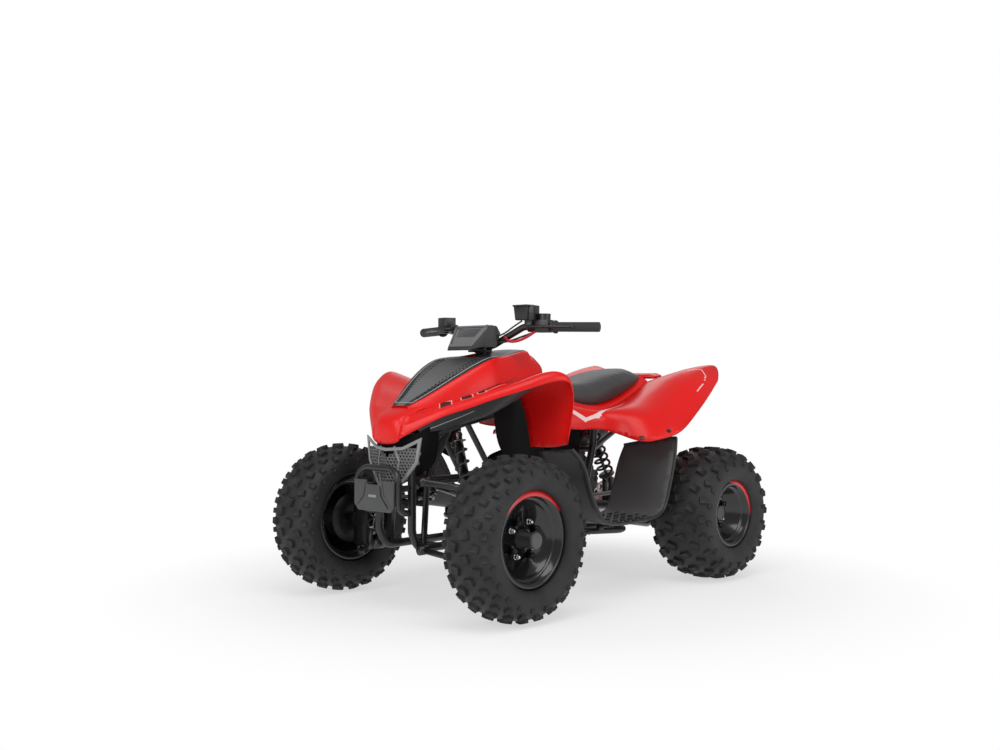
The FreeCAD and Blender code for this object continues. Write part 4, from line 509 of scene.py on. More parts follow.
def hood_inlay():
    """The hood's inlay: grained grey plastic, darker along its border."""
    finish = Finish("hood_inlay")
    x, y, z = finish.split(finish.place())
    narrow = x.between(0.36, 0.62) * 0.085
    edge = (abs(y) + narrow).between(0.096, 0.106) * x.between(0.27, 0.30)
    cloud = finish.noise(7.0, 3.0)
    fine = finish.noise(800.0, 2.0, 0.6)
    dark = (0.016, 0.016, 0.017, 1)
    ahead = x.between(0.30, 0.55)
    grey = finish.blend(ahead, (0.045, 0.045, 0.046, 1), (0.135, 0.136, 0.140, 1))
    tint = finish.blend(cloud.between(0.3, 0.7) * 0.2, grey, dark)
    tint = finish.blend(edge, tint, dark)
    finish.set(Base_Color=tint, Roughness=0.42 + (cloud - 0.5) * 0.1,
               Normal=finish.bump(fine, 0.15, 0.0005))
    return finish


def trim_black():
    """The fender trims: grained dark plastic, with a pale highlight painted along their moulded
    ridge.
    """
    colour = paint().plastic
    finish = Finish("trim_black")
    x, y, z = finish.split(finish.place())
    cloud = finish.noise(7.0, 3.0)
    fine = finish.noise(800.0, 2.0, 0.6)
    tint = finish.blend(cloud.between(0.3, 0.7), shade(colour, 1.0), shade(colour, 1.3))
    # Painted highlight: a pale line where the trim's moulded ridge would catch the light
    for start, end, half in TRIM_HIGHLIGHT:
        ridge_highlight = stripe_between(x, z, start, end, half, 0.0004)
        tint = finish.blend(ridge_highlight, tint, (0.42, 0.42, 0.43, 1))
    finish.set(Base_Color=tint, Roughness=0.40 + (cloud - 0.5) * 0.1,
               Normal=finish.bump(fine, 0.15, 0.0005))
    return finish


def well_plastic_painted_light():
    """The footwells: grained plastic, with painted shade making it black ahead of the floor and
    painted light making it grey behind it.
    """
    finish = Finish("well_grey")
    x, y, z = finish.split(finish.place())
    cloud = finish.noise(7.0, 3.0)
    fine = finish.noise(700.0, 2.0, 0.6)
    # Painted light and shade: the front walls are painted black as if in shade, the rear walls
    # paler grey as if lit
    behind = x.between(0.12, -0.06)
    tint = finish.blend(behind, (0.014, 0.014, 0.015, 1), (0.098, 0.103, 0.106, 1))
    finish.set(Base_Color=tint, Roughness=0.44 + (cloud - 0.5) * 0.10,
               Normal=finish.bump(fine, 0.20, 0.0004), Specular_IOR_Level=0.45)
    return finish


def rim_paint(name, centre, radius, lip, arc):
    """Gloss black wheel paint with a red band round part of the outer lip."""
    finish = Finish(name)
    x, y, z = finish.split(finish.place())
    ahead = x - centre[0]
    above = z - centre[1]
    out = (ahead * ahead + above * above).root()
    turn = finish.add("ShaderNodeMath", {"operation": "ARCTAN2"}, [ahead, above])
    middle = (arc[0] + arc[1]) / 2
    off = (turn - middle) / ((arc[1] - arc[0]) / 2)
    depth = (1 - off * off) * 0.0125 + 0.0045
    band = ((out + depth - radius).between(0.0, 0.0010)
            * out.between(radius + 0.0002, radius - 0.0006)
            * abs(y).between(lip - 0.030, lip - 0.029)
            * turn.between(arc[0] - 0.01, arc[0] + 0.01)
            * turn.between(arc[1] + 0.01, arc[1] - 0.01))
    cloud = finish.noise(30.0, 3.0)
    fine = finish.noise(900.0)
    tint = finish.blend(band, (0.008, 0.008, 0.009, 1), (0.62, 0.012, 0.016, 1))
    finish.set(Base_Color=tint, Roughness=0.16 + cloud * 0.10,
               Normal=finish.bump(fine, 0.05, 0.0002), Coat_Weight=0.3, Coat_Roughness=0.05)
    return finish


def rubber():
    """Tyre rubber: matt, a little clouded in tone, with fine moulding ribs."""
    colour = paint().rubber
    finish = Finish("tyre_rubber")
    cloud = finish.noise(18.0, 4.0)
    fine = finish.noise(700.0, 3.0, 0.7)
    tint = finish.blend(cloud.between(0.3, 0.75), shade(colour, 0.8), shade(colour, 1.35))
    finish.set(Base_Color=tint, Roughness=0.58 + (cloud - 0.5) * 0.16,
               Normal=finish.bump(fine, 0.22, 0.0005), Specular_IOR_Level=0.30)
    return finish


def vinyl():
    """Seat cover: leather grain of small cells, softly creased."""
    colour = paint().vinyl
    finish = Finish("seat_vinyl")
    grain = finish.cells(420.0, "DISTANCE_TO_EDGE")
    fine = finish.noise(60.0, 3.0)
    cloud = finish.noise(6.0)
    tint = finish.blend(cloud.between(0.3, 0.7), shade(colour, 0.9), shade(colour, 1.12))
    finish.set(Base_Color=tint, Roughness=0.50 + (fine - 0.5) * 0.14,
               Normal=finish.bump(grain.between(0.0, 0.25) + fine * 0.4, 0.16, 0.0005),
               Sheen_Weight=0.08)
    return finish


def metal(name, colour, rough, scale=300.0, strength=0.08, metallic=1.0):
    """Bare or plated metal with a little unevenness."""
    finish = Finish(name)
    cloud = finish.noise(24.0, 4.0)
    fine = finish.noise(scale, 3.0)
    tint = finish.blend(cloud.between(0.3, 0.75), shade(colour, 0.86), shade(colour, 1.08))
    finish.set(Base_Color=tint, Metallic=metallic, Roughness=rough + (cloud - 0.5) * 0.18,
               Normal=finish.bump(fine, strength, 0.0004))
    return finish


def cast(name, colour, rough):
    """Sand-cast metal: pitted, with a clouded tone."""
    finish = Finish(name)
    cloud = finish.noise(30.0, 4.0)
    pits = finish.cells(520.0)
    tint = finish.blend(cloud.between(0.35, 0.7), shade(colour, 0.78), shade(colour, 1.1))
    finish.set(Base_Color=tint, Metallic=0.85, Roughness=rough + (cloud - 0.5) * 0.2,
               Normal=finish.bump(pits, 0.25, 0.0004))
    return finish


def black_paint():
    """Powder coat on the tubes: gloss black with an orange-peel skin."""
    finish = Finish("black_paint")
    peel = finish.noise(340.0, 2.0)
    cloud = finish.noise(14.0, 3.0)
    tint = finish.blend(cloud.between(0.3, 0.7), (0.010, 0.010, 0.011, 1), (0.020, 0.020, 0.021, 1))
    finish.set(Base_Color=tint, Roughness=0.26 + cloud * 0.12,
               Normal=finish.bump(peel, 0.12, 0.0004))
    return finish


def grip_rubber():
    """Handlebar grip: a diamond knurl of two crossed ridges along the bar."""
    finish = Finish("grip_rubber")
    x, y, z = finish.split(finish.place())
    ridge = (y * 1400.0).sine() * 0.5 + 0.5
    cross = (z * 1600.0 + x * 900.0).sine() * 0.5 + 0.5
    fine = finish.noise(800.0, 2.0)
    finish.set(Base_Color=(0.018, 0.018, 0.019, 1), Roughness=0.55 + (fine - 0.5) * 0.2,
               Normal=finish.bump(ridge * cross, 0.35, 0.0007))
    return finish


def lamp_red():
    """The tail lamp's lens: clear red with fine flutes."""
    finish = Finish("lamp_red")
    x, y, z = finish.split(finish.place())
    flutes = (y * 900.0).sine()
    finish.set(Base_Color=(0.35, 0.004, 0.004, 1), Roughness=0.08 + abs(flutes) * 0.05,
               Normal=finish.bump(flutes, 0.2, 0.0005), Coat_Weight=0.8)
    return finish


def make_finishes():
    dark = paint().plastic
    gloss_red()
    gloss_red("nose_red", nose_marks)
    gloss_red("side_red", side_marks)
    hood_inlay()
    trim_black()
    moulded("grained_black", dark, 0.46, 700.0, 0.20)
    well_plastic_painted_light()
    moulded("satin_black", shade(dark, 0.55), 0.34, 900.0, 0.10)
    moulded("deep_black", (0.004, 0.004, 0.0045, 1), 0.6, 600.0, 0.12, gleam=0.12)
    moulded("pod_grey", (0.150, 0.151, 0.155, 1), 0.42, 700.0, 0.16)
    moulded("plate_grey", (0.060, 0.061, 0.063, 1), 0.42, 700.0, 0.16)
    moulded("mesh_grey", (0.240, 0.241, 0.246, 1), 0.40, 700.0, 0.10)
    moulded("strap_red", (0.52, 0.010, 0.030, 1), 0.45, 900.0, 0.20)
    moulded("grey_line", (0.42, 0.42, 0.43, 1), 0.4, 900.0, 0.06)
    moulded("screen_black", (0.055, 0.056, 0.060, 1), 0.08, 1200.0, 0.02, coat=0.7)
    for where, tyre in TYRES.items():
        low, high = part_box(f"{where}_rim_left")
        centre = ((low.x + high.x) / 2, (low.z + high.z) / 2)
        lip = tyre["middle"] + tyre["rim_width"] / 2
        rim_paint(f"{where}_rim_paint", centre, tyre["rim"], lip, tyre["band"])
    rubber()
    vinyl()
    black_paint()
    grip_rubber()
    lamp_red()
    metal("chrome", (0.62, 0.62, 0.63, 1), 0.26, 500.0, 0.03)
    metal("zinc", (0.42, 0.42, 0.43, 1), 0.36)
    metal("grey_cap", (0.10, 0.10, 0.105, 1), 0.40, 300.0, 0.10, metallic=0.4)
    metal("dark_steel", (0.05, 0.05, 0.052, 1), 0.42)
    metal("chain_steel", (0.20, 0.19, 0.18, 1), 0.36)
    metal("damper_steel", (0.16, 0.16, 0.165, 1), 0.30)
    metal("disc_steel", (0.52, 0.52, 0.53, 1), 0.28)
    cast("cast_black", (0.030, 0.030, 0.031, 1), 0.48)
    metal("bronze_paint", (0.40, 0.27, 0.12, 1), 0.34, 400.0, 0.08, metallic=0.75)


# Camera, lights and floor


PHOTO_WIDTH = 1000
CAMERA_PLACE = (3.0175, 2.6754, 0.7156)
CAMERA_TURN = math.radians(43.088)
CAMERA_DROP = math.radians(0.06)
FOCAL_PIXELS = 1179.29
SENSOR = 36.0


class QUAD_OT_camera(bpy.types.Operator):
    """Places the camera where the photograph was taken from"""

    bl_idname = "quad.camera"
    bl_label = "Camera"

    def execute(self, context):
        alone()
        bpy.ops.object.camera_add(location=CAMERA_PLACE)
        camera = context.active_object
        camera.name = "camera"
        look = Vector((-math.cos(CAMERA_TURN), -math.sin(CAMERA_TURN), -math.tan(CAMERA_DROP)))
        camera.rotation_euler = look.to_track_quat("-Z", "Y").to_euler()
        camera.data.sensor_width = SENSOR
        camera.data.lens = FOCAL_PIXELS * SENSOR / PHOTO_WIDTH
        camera.data.clip_start = 0.05
        camera.data.clip_end = 100
        context.scene.camera = camera
        return {"FINISHED"}


# An area lamp: its place, what it looks at, its width and height, and its power
LAMPS = (
    ((1.4, 1.6, 4.2), (0.0, 0.0, 0.5), 3.2, 2.6, 78),
    ((4.2, 0.2, 2.3), (0.3, 0.0, 0.4), 1.8, 2.4, 58),
    ((-0.6, 4.3, 1.9), (0.0, 0.3, 0.4), 2.6, 1.6, 40),
    ((-3.4, -2.6, 2.8), (0.0, 0.0, 0.6), 2.4, 1.6, 16),
)
BACKDROP_LIGHT = 0.34
BACKDROP_SEEN = 1.0
FLOOR_SPREAD = (0.72, 1.5)
FLOOR_GLOW = 0.58


class QUAD_OT_stage(bpy.types.Operator):
    """Lays a pale floor that fades into the backdrop, and hangs soft lamps"""

    bl_idname = "quad.stage"
    bl_label = "Stage"

    def execute(self, context):
        alone()
        bpy.ops.mesh.primitive_circle_add(vertices=96, radius=24, fill_type="NGON")
        floor = named("floor")
        finish = Finish("floor_white")
        x, y, z = finish.split(finish.place())
        away = (x * x + y * y).root().between(*FLOOR_SPREAD) * (1 - FLOOR_GLOW) + FLOOR_GLOW
        cloud = finish.noise(1.2)
        pale = finish.blend(cloud, (0.90, 0.90, 0.90, 1), (0.94, 0.94, 0.94, 1))
        finish.set(Base_Color=pale, Roughness=0.7)
        glow = finish.tree.nodes.new("ShaderNodeEmission")
        glow.inputs["Color"].default_value = (1, 1, 1, 1)
        glow.inputs["Strength"].default_value = BACKDROP_SEEN
        mix = finish.tree.nodes.new("ShaderNodeMixShader")
        finish.feed(mix.inputs[0], away)
        finish.tree.links.new(finish.shader.outputs[0], mix.inputs[1])
        finish.tree.links.new(glow.outputs[0], mix.inputs[2])
        finish.tree.links.new(mix.outputs[0], finish.output.inputs[0])
        floor.data.materials.append(finish.material)
        world = bpy.data.worlds.new("studio")
        world.use_nodes = True
        nodes = world.node_tree.nodes
        links = world.node_tree.links
        soft = nodes["Background"]
        soft.inputs["Strength"].default_value = BACKDROP_LIGHT
        white = nodes.new("ShaderNodeBackground")
        white.inputs["Strength"].default_value = BACKDROP_SEEN
        for backdrop in (soft, white):
            backdrop.inputs["Color"].default_value = (1, 1, 1, 1)
        seen = nodes.new("ShaderNodeLightPath")
        choice = nodes.new("ShaderNodeMixShader")
        links.new(seen.outputs["Is Camera Ray"], choice.inputs[0])
        links.new(soft.outputs[0], choice.inputs[1])
        links.new(white.outputs[0], choice.inputs[2])
        links.new(choice.outputs[0], nodes["World Output"].inputs["Surface"])
        context.scene.world = world
        context.scene.view_settings.view_transform = "Standard"
        for number, (place, target, width, height, power) in enumerate(LAMPS):
            bpy.ops.object.light_add(type="AREA", location=place)
            lamp = context.active_object
            lamp.name = f"lamp_{number}"
            lamp.data.shape = "RECTANGLE"
            lamp.data.size = width
            lamp.data.size_y = height
            lamp.data.energy = power
            look = Vector(target) - Vector(place)
            lamp.rotation_euler = look.to_track_quat("-Z", "Y").to_euler()
        return {"FINISHED"}


# The frame's own nodes


# What each solid is finished in, where that isn't the tubes' black paint
NODE_FINISHES = {
    "bumper_plate": "plate_grey", "rear_axle": "dark_steel", "rear_sprocket": "chain_steel",
    "rear_brake_disc": "disc_steel", "chain": "chain_steel", "crankcase": "cast_black",
    "cylinder": "cast_black", "flywheel_cover": "bronze_paint", "exhaust": "dark_steel",
    "intake": "deep_black", "tail_lamp": "lamp_red", "fender_trims": "trim_black",
    "front_body": "nose_red", "rear_body": "side_red", "seat": "seat_vinyl",
    "footwells": "well_grey", "grille": "satin_black", "instrument_pod": "grained_black",
    "grips": "grip_rubber", "bar_controls": "satin_black", "dampers": "damper_steel",
}
for side in ("left", "right"):
    NODE_FINISHES.update({
        f"knuckle_{side}": "cast_black", f"front_hub_{side}": "cast_black",
        f"tie_rod_{side}": "zinc", f"front_rim_{side}": "front_rim_paint",
        f"rear_rim_{side}": "rear_rim_paint", f"front_tyre_{side}": "tyre_rubber",
        f"rear_tyre_{side}": "tyre_rubber"})


# Edges that are broken by a small radius, in metres
NODE_EDGES = {
    "instrument_pod": 0.0035, "bar_controls": 0.0016, "crankcase": 0.004, "cylinder": 0.0008,
    "intake": 0.003, "bumper_plate": 0.0012, "knuckle_left": 0.0015, "knuckle_right": 0.0015,
    "flywheel_cover": 0.003, "swingarm": 0.0008, "tail_lamp": 0.002,
}


def dressed(node, finish):
    """Gives a node of the frame its finish, broken edges and smooth shading."""
    piece = NODES[node]
    piece.data.materials.clear()
    piece.data.materials.append(bpy.data.materials[finish])
    weld = piece.modifiers.new("weld", "WELD")
    weld.merge_threshold = 0.00001
    if node in NODE_EDGES:
        edge = piece.modifiers.new("edges", "BEVEL")
        edge.width = NODE_EDGES[node]
        edge.segments = 2
        edge.limit_method = "ANGLE"
        edge.angle_limit = math.radians(35)
    return smoothed(piece, 30)


class QUAD_OT_finishes(bpy.types.Operator):
    """Makes the finishes and gives each solid of the frame its own"""

    bl_idname = "quad.finishes"
    bl_label = "Finishes"

    def execute(self, context):
        make_finishes()
        for node in NODES:
            dressed(node, NODE_FINISHES.get(node, "black_paint"))
        return {"FINISHED"}


# Tyres and wheels


# A tyre's sizes, and its rows of lugs: each row's place across the tyre, its lugs' length, width,
# height and turn, and its phase. The band is the arc of the rim's red paint, in radians.
TYRES = {
    "front": {"radius": 0.242, "width": 0.180, "rim": 0.142, "rim_width": 0.128, "middle": 0.393,
              "band": (-1.02, 1.08),
              "rows": ((0.020, 0.027, 0.030, 0.0095, 12, 0.00),
                       (0.054, 0.021, 0.026, 0.0090, -10, 0.50),
                       (0.0745, 0.017, 0.021, 0.0078, 8, 0.00),
                       (0.0865, 0.013, 0.015, 0.0052, -6, 0.50))},
    "rear": {"radius": 0.229, "width": 0.232, "rim": 0.116, "rim_width": 0.194, "middle": 0.375,
             "band": (-1.66, 0.18),
             "rows": ((0.022, 0.026, 0.036, 0.0100, 18, 0.00),
                      (0.066, 0.025, 0.034, 0.0100, -22, 0.45),
                      (0.0985, 0.022, 0.026, 0.0092, 14, 0.00),
                      (0.1125, 0.014, 0.020, 0.0052, 0, 0.25))},
}
SHOULDER_POWER = 2.5
BELLY_SHARE = 0.44
SIDE_CLEARANCE = 0.002
RIB_REACH = 0.0024
BEAD_STEPS = 8
WALL_STEPS = 16
LUG_SUNK = 1.35
LUG_LIFT = 0.32
SLOPE_STEPS = 200


def wheel_centre(tyre):
    low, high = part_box(tyre)
    return Vector(((low.x + high.x) / 2, (low.y + high.y) / 2, (low.z + high.z) / 2))


def wheel_body(where, side):
    return f"wheel_front_{side}" if where == "front" else "rear_axle"


def carcass_sizes(tyre):
    """The carcass's crown radius, its half width, and its radius where it is widest."""
    crown = tyre["radius"] - bpy.context.scene.quad_tyre.lug_height
    half = tyre["width"] / 2 - SIDE_CLEARANCE
    belly = tyre["rim"] + BELLY_SHARE * (crown - tyre["rim"])
    return crown, half, belly


def upper_wall(tyre, turn):
    """A point of the carcass above its belly: its place across and its radius."""
    crown, half, belly = carcass_sizes(tyre)
    power = 2 / SHOULDER_POWER
    return (half * math.cos(turn) ** power, belly + (crown - belly) * math.sin(turn) ** power)


def carcass_outline(tyre):
    """The section of one tyre, from one bead round the crown to the other, and back inside."""
    crown, half, belly = carcass_sizes(tyre)
    rib = bpy.context.scene.quad_tyre.rib
    bead = tyre["rim_width"] / 2 - 0.0005
    seat = tyre["rim"] + 0.0006
    side = [(bead - 0.006, seat)]
    for step in range(BEAD_STEPS + 1):
        turn = math.pi / 2 * step / BEAD_STEPS
        side.append((bead + (half - bead) * math.sin(turn),
                     seat + (belly - seat) * (1 - math.cos(turn))))
    for step in range(1, WALL_STEPS + 1):
        side.append(upper_wall(tyre, math.pi / 2 * step / WALL_STEPS))
    ring = belly + 0.30 * (crown - belly)
    raised = []
    for across, radius in side:
        near = abs(radius - ring) < RIB_REACH and across > half * 0.8
        raised.append((across + (rib if near else 0), radius))
    inner = [(across * 0.80, seat + 0.004 + (radius - seat) * 0.82)
             for across, radius in raised[1::3]][1:]
    outside = raised + [(-across, radius) for across, radius in reversed(raised[:-1])]
    inside = [(-across, radius) for across, radius in inner[:-1]] + inner[::-1]
    return outside + inside


def lug(name, length, width, height, turn):
    """A tread lug: a tapered block with a pressed pit in its top."""
    block = cube(name, (0, 0, 0), (length, width, height))
    chosen(block, lambda middle, normal: normal.z > 0.9)
    bpy.ops.transform.resize(value=(0.86, 0.88, 1))
    bpy.ops.mesh.inset(thickness=min(length, width) * 0.24)
    bpy.ops.transform.translate(value=(0, 0, -height * 0.30))
    shut()
    chosen(block, lambda middle, normal: normal.z < -0.9)
    bpy.ops.mesh.delete(type="FACE")
    shut()
    block.data.transform(Matrix.Rotation(math.radians(turn), 4, "Z"))
    return block


def lug_place(tyre, across):
    """The carcass point at a place across the tyre, and the outward slope there."""
    def wall(step):
        return upper_wall(tyre, step / SLOPE_STEPS * math.pi / 2)

    best = min(range(1, SLOPE_STEPS + 1), key=lambda step: abs(wall(step)[0] - across))
    here = wall(best)
    near = wall(best - 1)
    slope = Vector((near[0] - here[0], near[1] - here[1]))
    outward = Vector((-slope.y, slope.x)).normalized()
    return here, outward


def tread(name, tyre, count):
    """All the lugs of one tyre about the origin, axle along Y."""
    pieces = []
    for number, (across, length, width, height, turn, phase) in enumerate(tyre["rows"]):
        (side, radius), outward = lug_place(tyre, across)
        lift = height * LUG_LIFT
        for way in (1, -1):
            block = lug(f"{name}_{number}", length, width, height * LUG_SUNK, turn * way)
            lean = math.atan2(outward.x, outward.y) * way
            block.data.transform(Matrix.Rotation(-lean, 4, "X"))
            block.data.transform(Matrix.Translation(
                (0, way * (side + outward.x * lift), radius + outward.y * lift)))
            offset = phase + (0.5 if way < 0 else 0)
            for step in range(count):
                angle = FULL_TURN * (step + offset) / count
                pieces.append(copied(block, f"{name}_{number}",
                                     Matrix.Rotation(angle, 4, "Y")))
            thrown_away(block)
    return pieces


def tyre_shape(name, tyre, count):
    """One tyre about the origin, axle along Y."""
    points = [(0, across, radius) for across, radius in carcass_outline(tyre)]
    ring = drawn(name, points)
    spun(ring, bpy.context.scene.quad_tyre.around)
    return merged([ring] + tread(name, tyre, count), name)


class QUAD_OT_tyres(bpy.types.Operator):
    """Knobbly tyres: two sizes, each made once and set on its axle twice"""

    bl_idname = "quad.tyres"
    bl_label = "Tyres"

    def execute(self, context):
        lugs = context.scene.quad_tyre
        for where, count in (("front", lugs.front_lugs), ("rear", lugs.rear_lugs)):
            shape = tyre_shape(f"{where}_shape", TYRES[where], count)
            for side, way in SIDES:
                node = f"{where}_tyre_{side}"
                turned = Matrix.Translation(wheel_centre(node))
                if way < 0:
                    turned = turned @ HALF_TURN
                piece = copied(shape, f"tyre_{where}_{side}", turned)
                finished(piece, wheel_body(where, side), "tyre_rubber", [node], angle=40)
            thrown_away(shape)
        return {"FINISHED"}


NUT_CIRCLE = 0.055
NUT_RADIUS = 0.0078
NUT_STAND = 0.017
NUT_TURNS = (30, 120, 210, 300)
# How deep each wheel's face lies behind the rim's outer lip
NUT_RECESS = {"front": 0.044, "rear": 0.084}


def facing_out(way):
    """Turns a piece that stands along Z to face away from the middle."""
    return Matrix.Rotation(-math.pi / 2 * way, 4, "X")


def domed_nut(name):
    """A domed hexagon nut with a washer skirt, standing on the origin along Z."""
    nut = round_bar(name, (0, 0, NUT_STAND * 0.35), NUT_RADIUS, NUT_STAND * 0.7, vertices=6)
    chosen(nut, lambda middle, normal: normal.z > 0.9)
    bpy.ops.mesh.inset(thickness=NUT_RADIUS * 0.12)
    for lift, share in ((0.0030, 0.93), (0.0024, 0.80), (0.0012, 0.50)):
        bpy.ops.mesh.extrude_region_move(TRANSFORM_OT_translate={"value": (0, 0, lift)})
        bpy.ops.transform.resize(value=(share, share, 1))
    shut()
    bevelled(nut, 0.0006)
    skirt = round_bar(f"{name}_skirt", (0, 0, 0.0015), NUT_RADIUS * 1.12, 0.003, vertices=28)
    bevelled(skirt, 0.0008)
    return merged([nut, skirt], name)


class QUAD_OT_nuts(bpy.types.Operator):
    """Four plated wheel nuts on each wheel"""

    bl_idname = "quad.nuts"
    bl_label = "Wheel nuts"

    def execute(self, context):
        nut = domed_nut("nut")
        for where, tyre in TYRES.items():
            face = tyre["middle"] + tyre["rim_width"] / 2 - NUT_RECESS[where]
            for side, way in SIDES:
                middle = wheel_centre(f"{where}_tyre_{side}")
                places = []
                for turn in NUT_TURNS:
                    angle = math.radians(turn)
                    spot = (middle.x + NUT_CIRCLE * math.cos(angle), way * (face + 0.0002),
                            middle.z + NUT_CIRCLE * math.sin(angle))
                    places.append(Matrix.Translation(spot) @ facing_out(way))
                piece = repeated(nut, f"wheel_nuts_{where}_{side}", places)
                finished(piece, wheel_body(where, side), "chrome", angle=30)
        thrown_away(nut)
        return {"FINISHED"}


# A wheel's grey cap: its radius, its height, and where its foot stands
CAPS = (("front", 0.0245, 0.0110, 0.4605), ("rear", 0.0255, 0.0120, 0.4095))


class QUAD_OT_caps(bpy.types.Operator):
    """Grey domed caps over the hub nuts"""

    bl_idname = "quad.caps"
    bl_label = "Hub caps"

    def execute(self, context):
        for where, radius, height, foot in CAPS:
            cap = round_bar("cap", (0, 0, height / 2), radius, height, vertices=40)
            bevelled(cap, 0.0022, segments=3)
            pressed(cap, lambda middle, normal: normal.z > 0.95 and middle.z > height * 0.9,
                    (radius * 0.22, (0, 0, -0.0014)), (radius * 0.10, (0, 0, 0.0022)))
            for side, way in SIDES:
                middle = wheel_centre(f"{where}_tyre_{side}")
                spot = Matrix.Translation((middle.x, way * foot, middle.z))
                piece = copied(cap, f"hub_cap_{where}_{side}", spot @ facing_out(way))
                finished(piece, wheel_body(where, side), "grey_cap", angle=30)
            thrown_away(cap)
        return {"FINISHED"}


# Panels


def sheet_of(name, rows, wall, hole=None):
    """A curved panel led by rows of points, half its wall laid to each side."""
    alone()
    bpy.ops.mesh.primitive_grid_add(x_subdivisions=len(rows[0]) - 1,
                                    y_subdivisions=len(rows) - 1, size=1)
    piece = named(name)
    flat = [point for row in rows for point in row]
    for vertex, point in zip(piece.data.vertices, flat):
        vertex.co = point
    if hole:
        chosen(piece, lambda middle, normal: hole(middle))
        bpy.ops.mesh.delete(type="FACE")
        shut()
    opened(piece)
    bpy.ops.mesh.normals_make_consistent(inside=False)
    shut()
    shaped(piece, "SUBSURF", levels=2, render_levels=2)
    shaped(piece, "SOLIDIFY", thickness=wall, offset=0, use_even_offset=True)
    return piece


def curve_through(name, points, radius, steps):
    """A NURBS line led by points, with a round section and closed ends."""
    alone()
    bpy.ops.curve.primitive_bezier_curve_add()
    piece = named(name)
    line = piece.data
    line.splines.clear()
    spline = line.splines.new("NURBS")
    spline.points.add(len(points) - 1)
    for knot, point in zip(spline.points, points):
        knot.co = (*point, 1)
    spline.order_u = 3
    spline.use_endpoint_u = True
    line.dimensions = "3D"
    line.resolution_u = steps
    line.bevel_depth = radius
    line.bevel_resolution = 4
    line.use_fill_caps = True
    return piece


def welded_bar(name, points, radius):
    """A round bar led by points, made a mesh."""
    alone(curve_through(name, points, radius, 6))
    bpy.ops.object.convert(target="MESH")
    piece = named(name)
    opened(piece, "VERT")
    bpy.ops.mesh.remove_doubles(threshold=0.00001)
    bpy.ops.mesh.normals_make_consistent(inside=False)
    shut()
    return settled(piece)


def paired_bars(name, lines, front, radius):
    """Round bars in a plane across the object, on both sides of its middle."""
    bars = []
    for way in (1, -1):
        for line in lines:
            bars.append(welded_bar(name, [(front, y * way, z) for y, z in line], radius))
    return bars


# The raised hood: stations from the nose to the rear, as the place along, the border's half width
# and height, the crown's height, and the skirt's foot out and up
HOOD_STATIONS = (
    (0.604, 0.032, 0.6155, 0.6175, 0.040, 0.605), (0.594, 0.042, 0.6210, 0.6235, 0.053, 0.606),
    (0.575, 0.051, 0.6320, 0.6345, 0.066, 0.611), (0.550, 0.063, 0.6460, 0.6490, 0.083, 0.615),
    (0.500, 0.087, 0.6770, 0.6820, 0.108, 0.629), (0.450, 0.106, 0.7070, 0.7120, 0.130, 0.644),
    (0.400, 0.120, 0.7340, 0.7380, 0.148, 0.659), (0.350, 0.128, 0.7560, 0.7600, 0.158, 0.675),
    (0.322, 0.126, 0.7640, 0.7675, 0.158, 0.680), (0.296, 0.119, 0.7693, 0.7738, 0.154, 0.688),
    (0.270, 0.112, 0.7745, 0.7800, 0.150, 0.696), (0.240, 0.1035, 0.7793, 0.7835, 0.145, 0.705),
    (0.210, 0.095, 0.7840, 0.7870, 0.140, 0.714), (0.150, 0.085, 0.7900, 0.7925, 0.116, 0.748),
    (0.120, 0.081, 0.7910, 0.7945, 0.106, 0.762))
SKIRT_SHARES = ((0.30, 0.10), (0.72, 0.55), (1, 1))
HOLE_REACH = (0.202, 0.318)
HOLE_HALF = 0.034
# The two hollows that the instrument pod turns over: middle along and across, reach and depth
POD_HOLLOW = {"along": 0.247, "across": 0.073, "reach": (0.060, 0.038), "depth": 0.0140}


def hollow(along, across):
    """How far the hood sinks at a place, so that the pod clears it at the steering's stops."""
    ahead = (along - POD_HOLLOW["along"]) / POD_HOLLOW["reach"][0]
    out = (abs(across) - POD_HOLLOW["across"]) / POD_HOLLOW["reach"][1]
    return POD_HOLLOW["depth"] * math.exp(-ahead ** 2 - out ** 2)


def hood_row(station, shares, skirt, lift):
    """A row of points across the hood at one station, from left to right."""
    along, half, height, _, foot, ground = station
    across = [hood_point(station, share, lift) for share in shares]
    if skirt:
        across += [(along, half + (foot - half) * out, height - (height - ground) * down)
                   for out, down in SKIRT_SHARES]
    other = [(x, -y, z) for x, y, z in across if y > 0]
    return other[::-1] + across


def in_hole(middle):
    return HOLE_REACH[0] < middle.x < HOLE_REACH[1] and abs(middle.y) < HOLE_HALF


def hood_sheet(name, shares, skirt, lift, wall):
    """One layer of the raised hood, open round the steering column."""
    rows = [hood_row(station, shares, skirt, lift) for station in HOOD_STATIONS]
    return sheet_of(name, rows, wall, hole=in_hole)


def hood_point(station, share, lift):
    along, half, height, crown = station[:4]
    low = hollow(along, half * share)
    return (along, half * share, height + (crown - height) * (1 - share ** 2) + lift - low)


def hood_at(along, share, lift):
    """A point of the hood's top at a place along it and a share of its half width."""
    for ahead, behind in zip(HOOD_STATIONS, HOOD_STATIONS[1:]):
        if behind[0] <= along <= ahead[0]:
            part = (along - behind[0]) / (ahead[0] - behind[0])
            mixed = [b + (a - b) * part for a, b in zip(ahead, behind)]
            return hood_point(mixed, share, lift)


INLAY_SHARES = (0.0, 0.28, 0.48, 0.66, 0.82, 0.92, 0.985)
SHELL_SHARES = (0.0, 0.28, 0.48, 0.66, 0.82, 0.92, 1.0)
# The pale line along the inlay: its share of the hood's half width, its front, its points and lift
LINE_SHARE = 0.86
LINE_FRONT = 0.590
LINE_STEP = 0.0265
LINE_POINTS = 15
LINE_LIFT = 0.0026
LINE_RADIUS = 0.0012
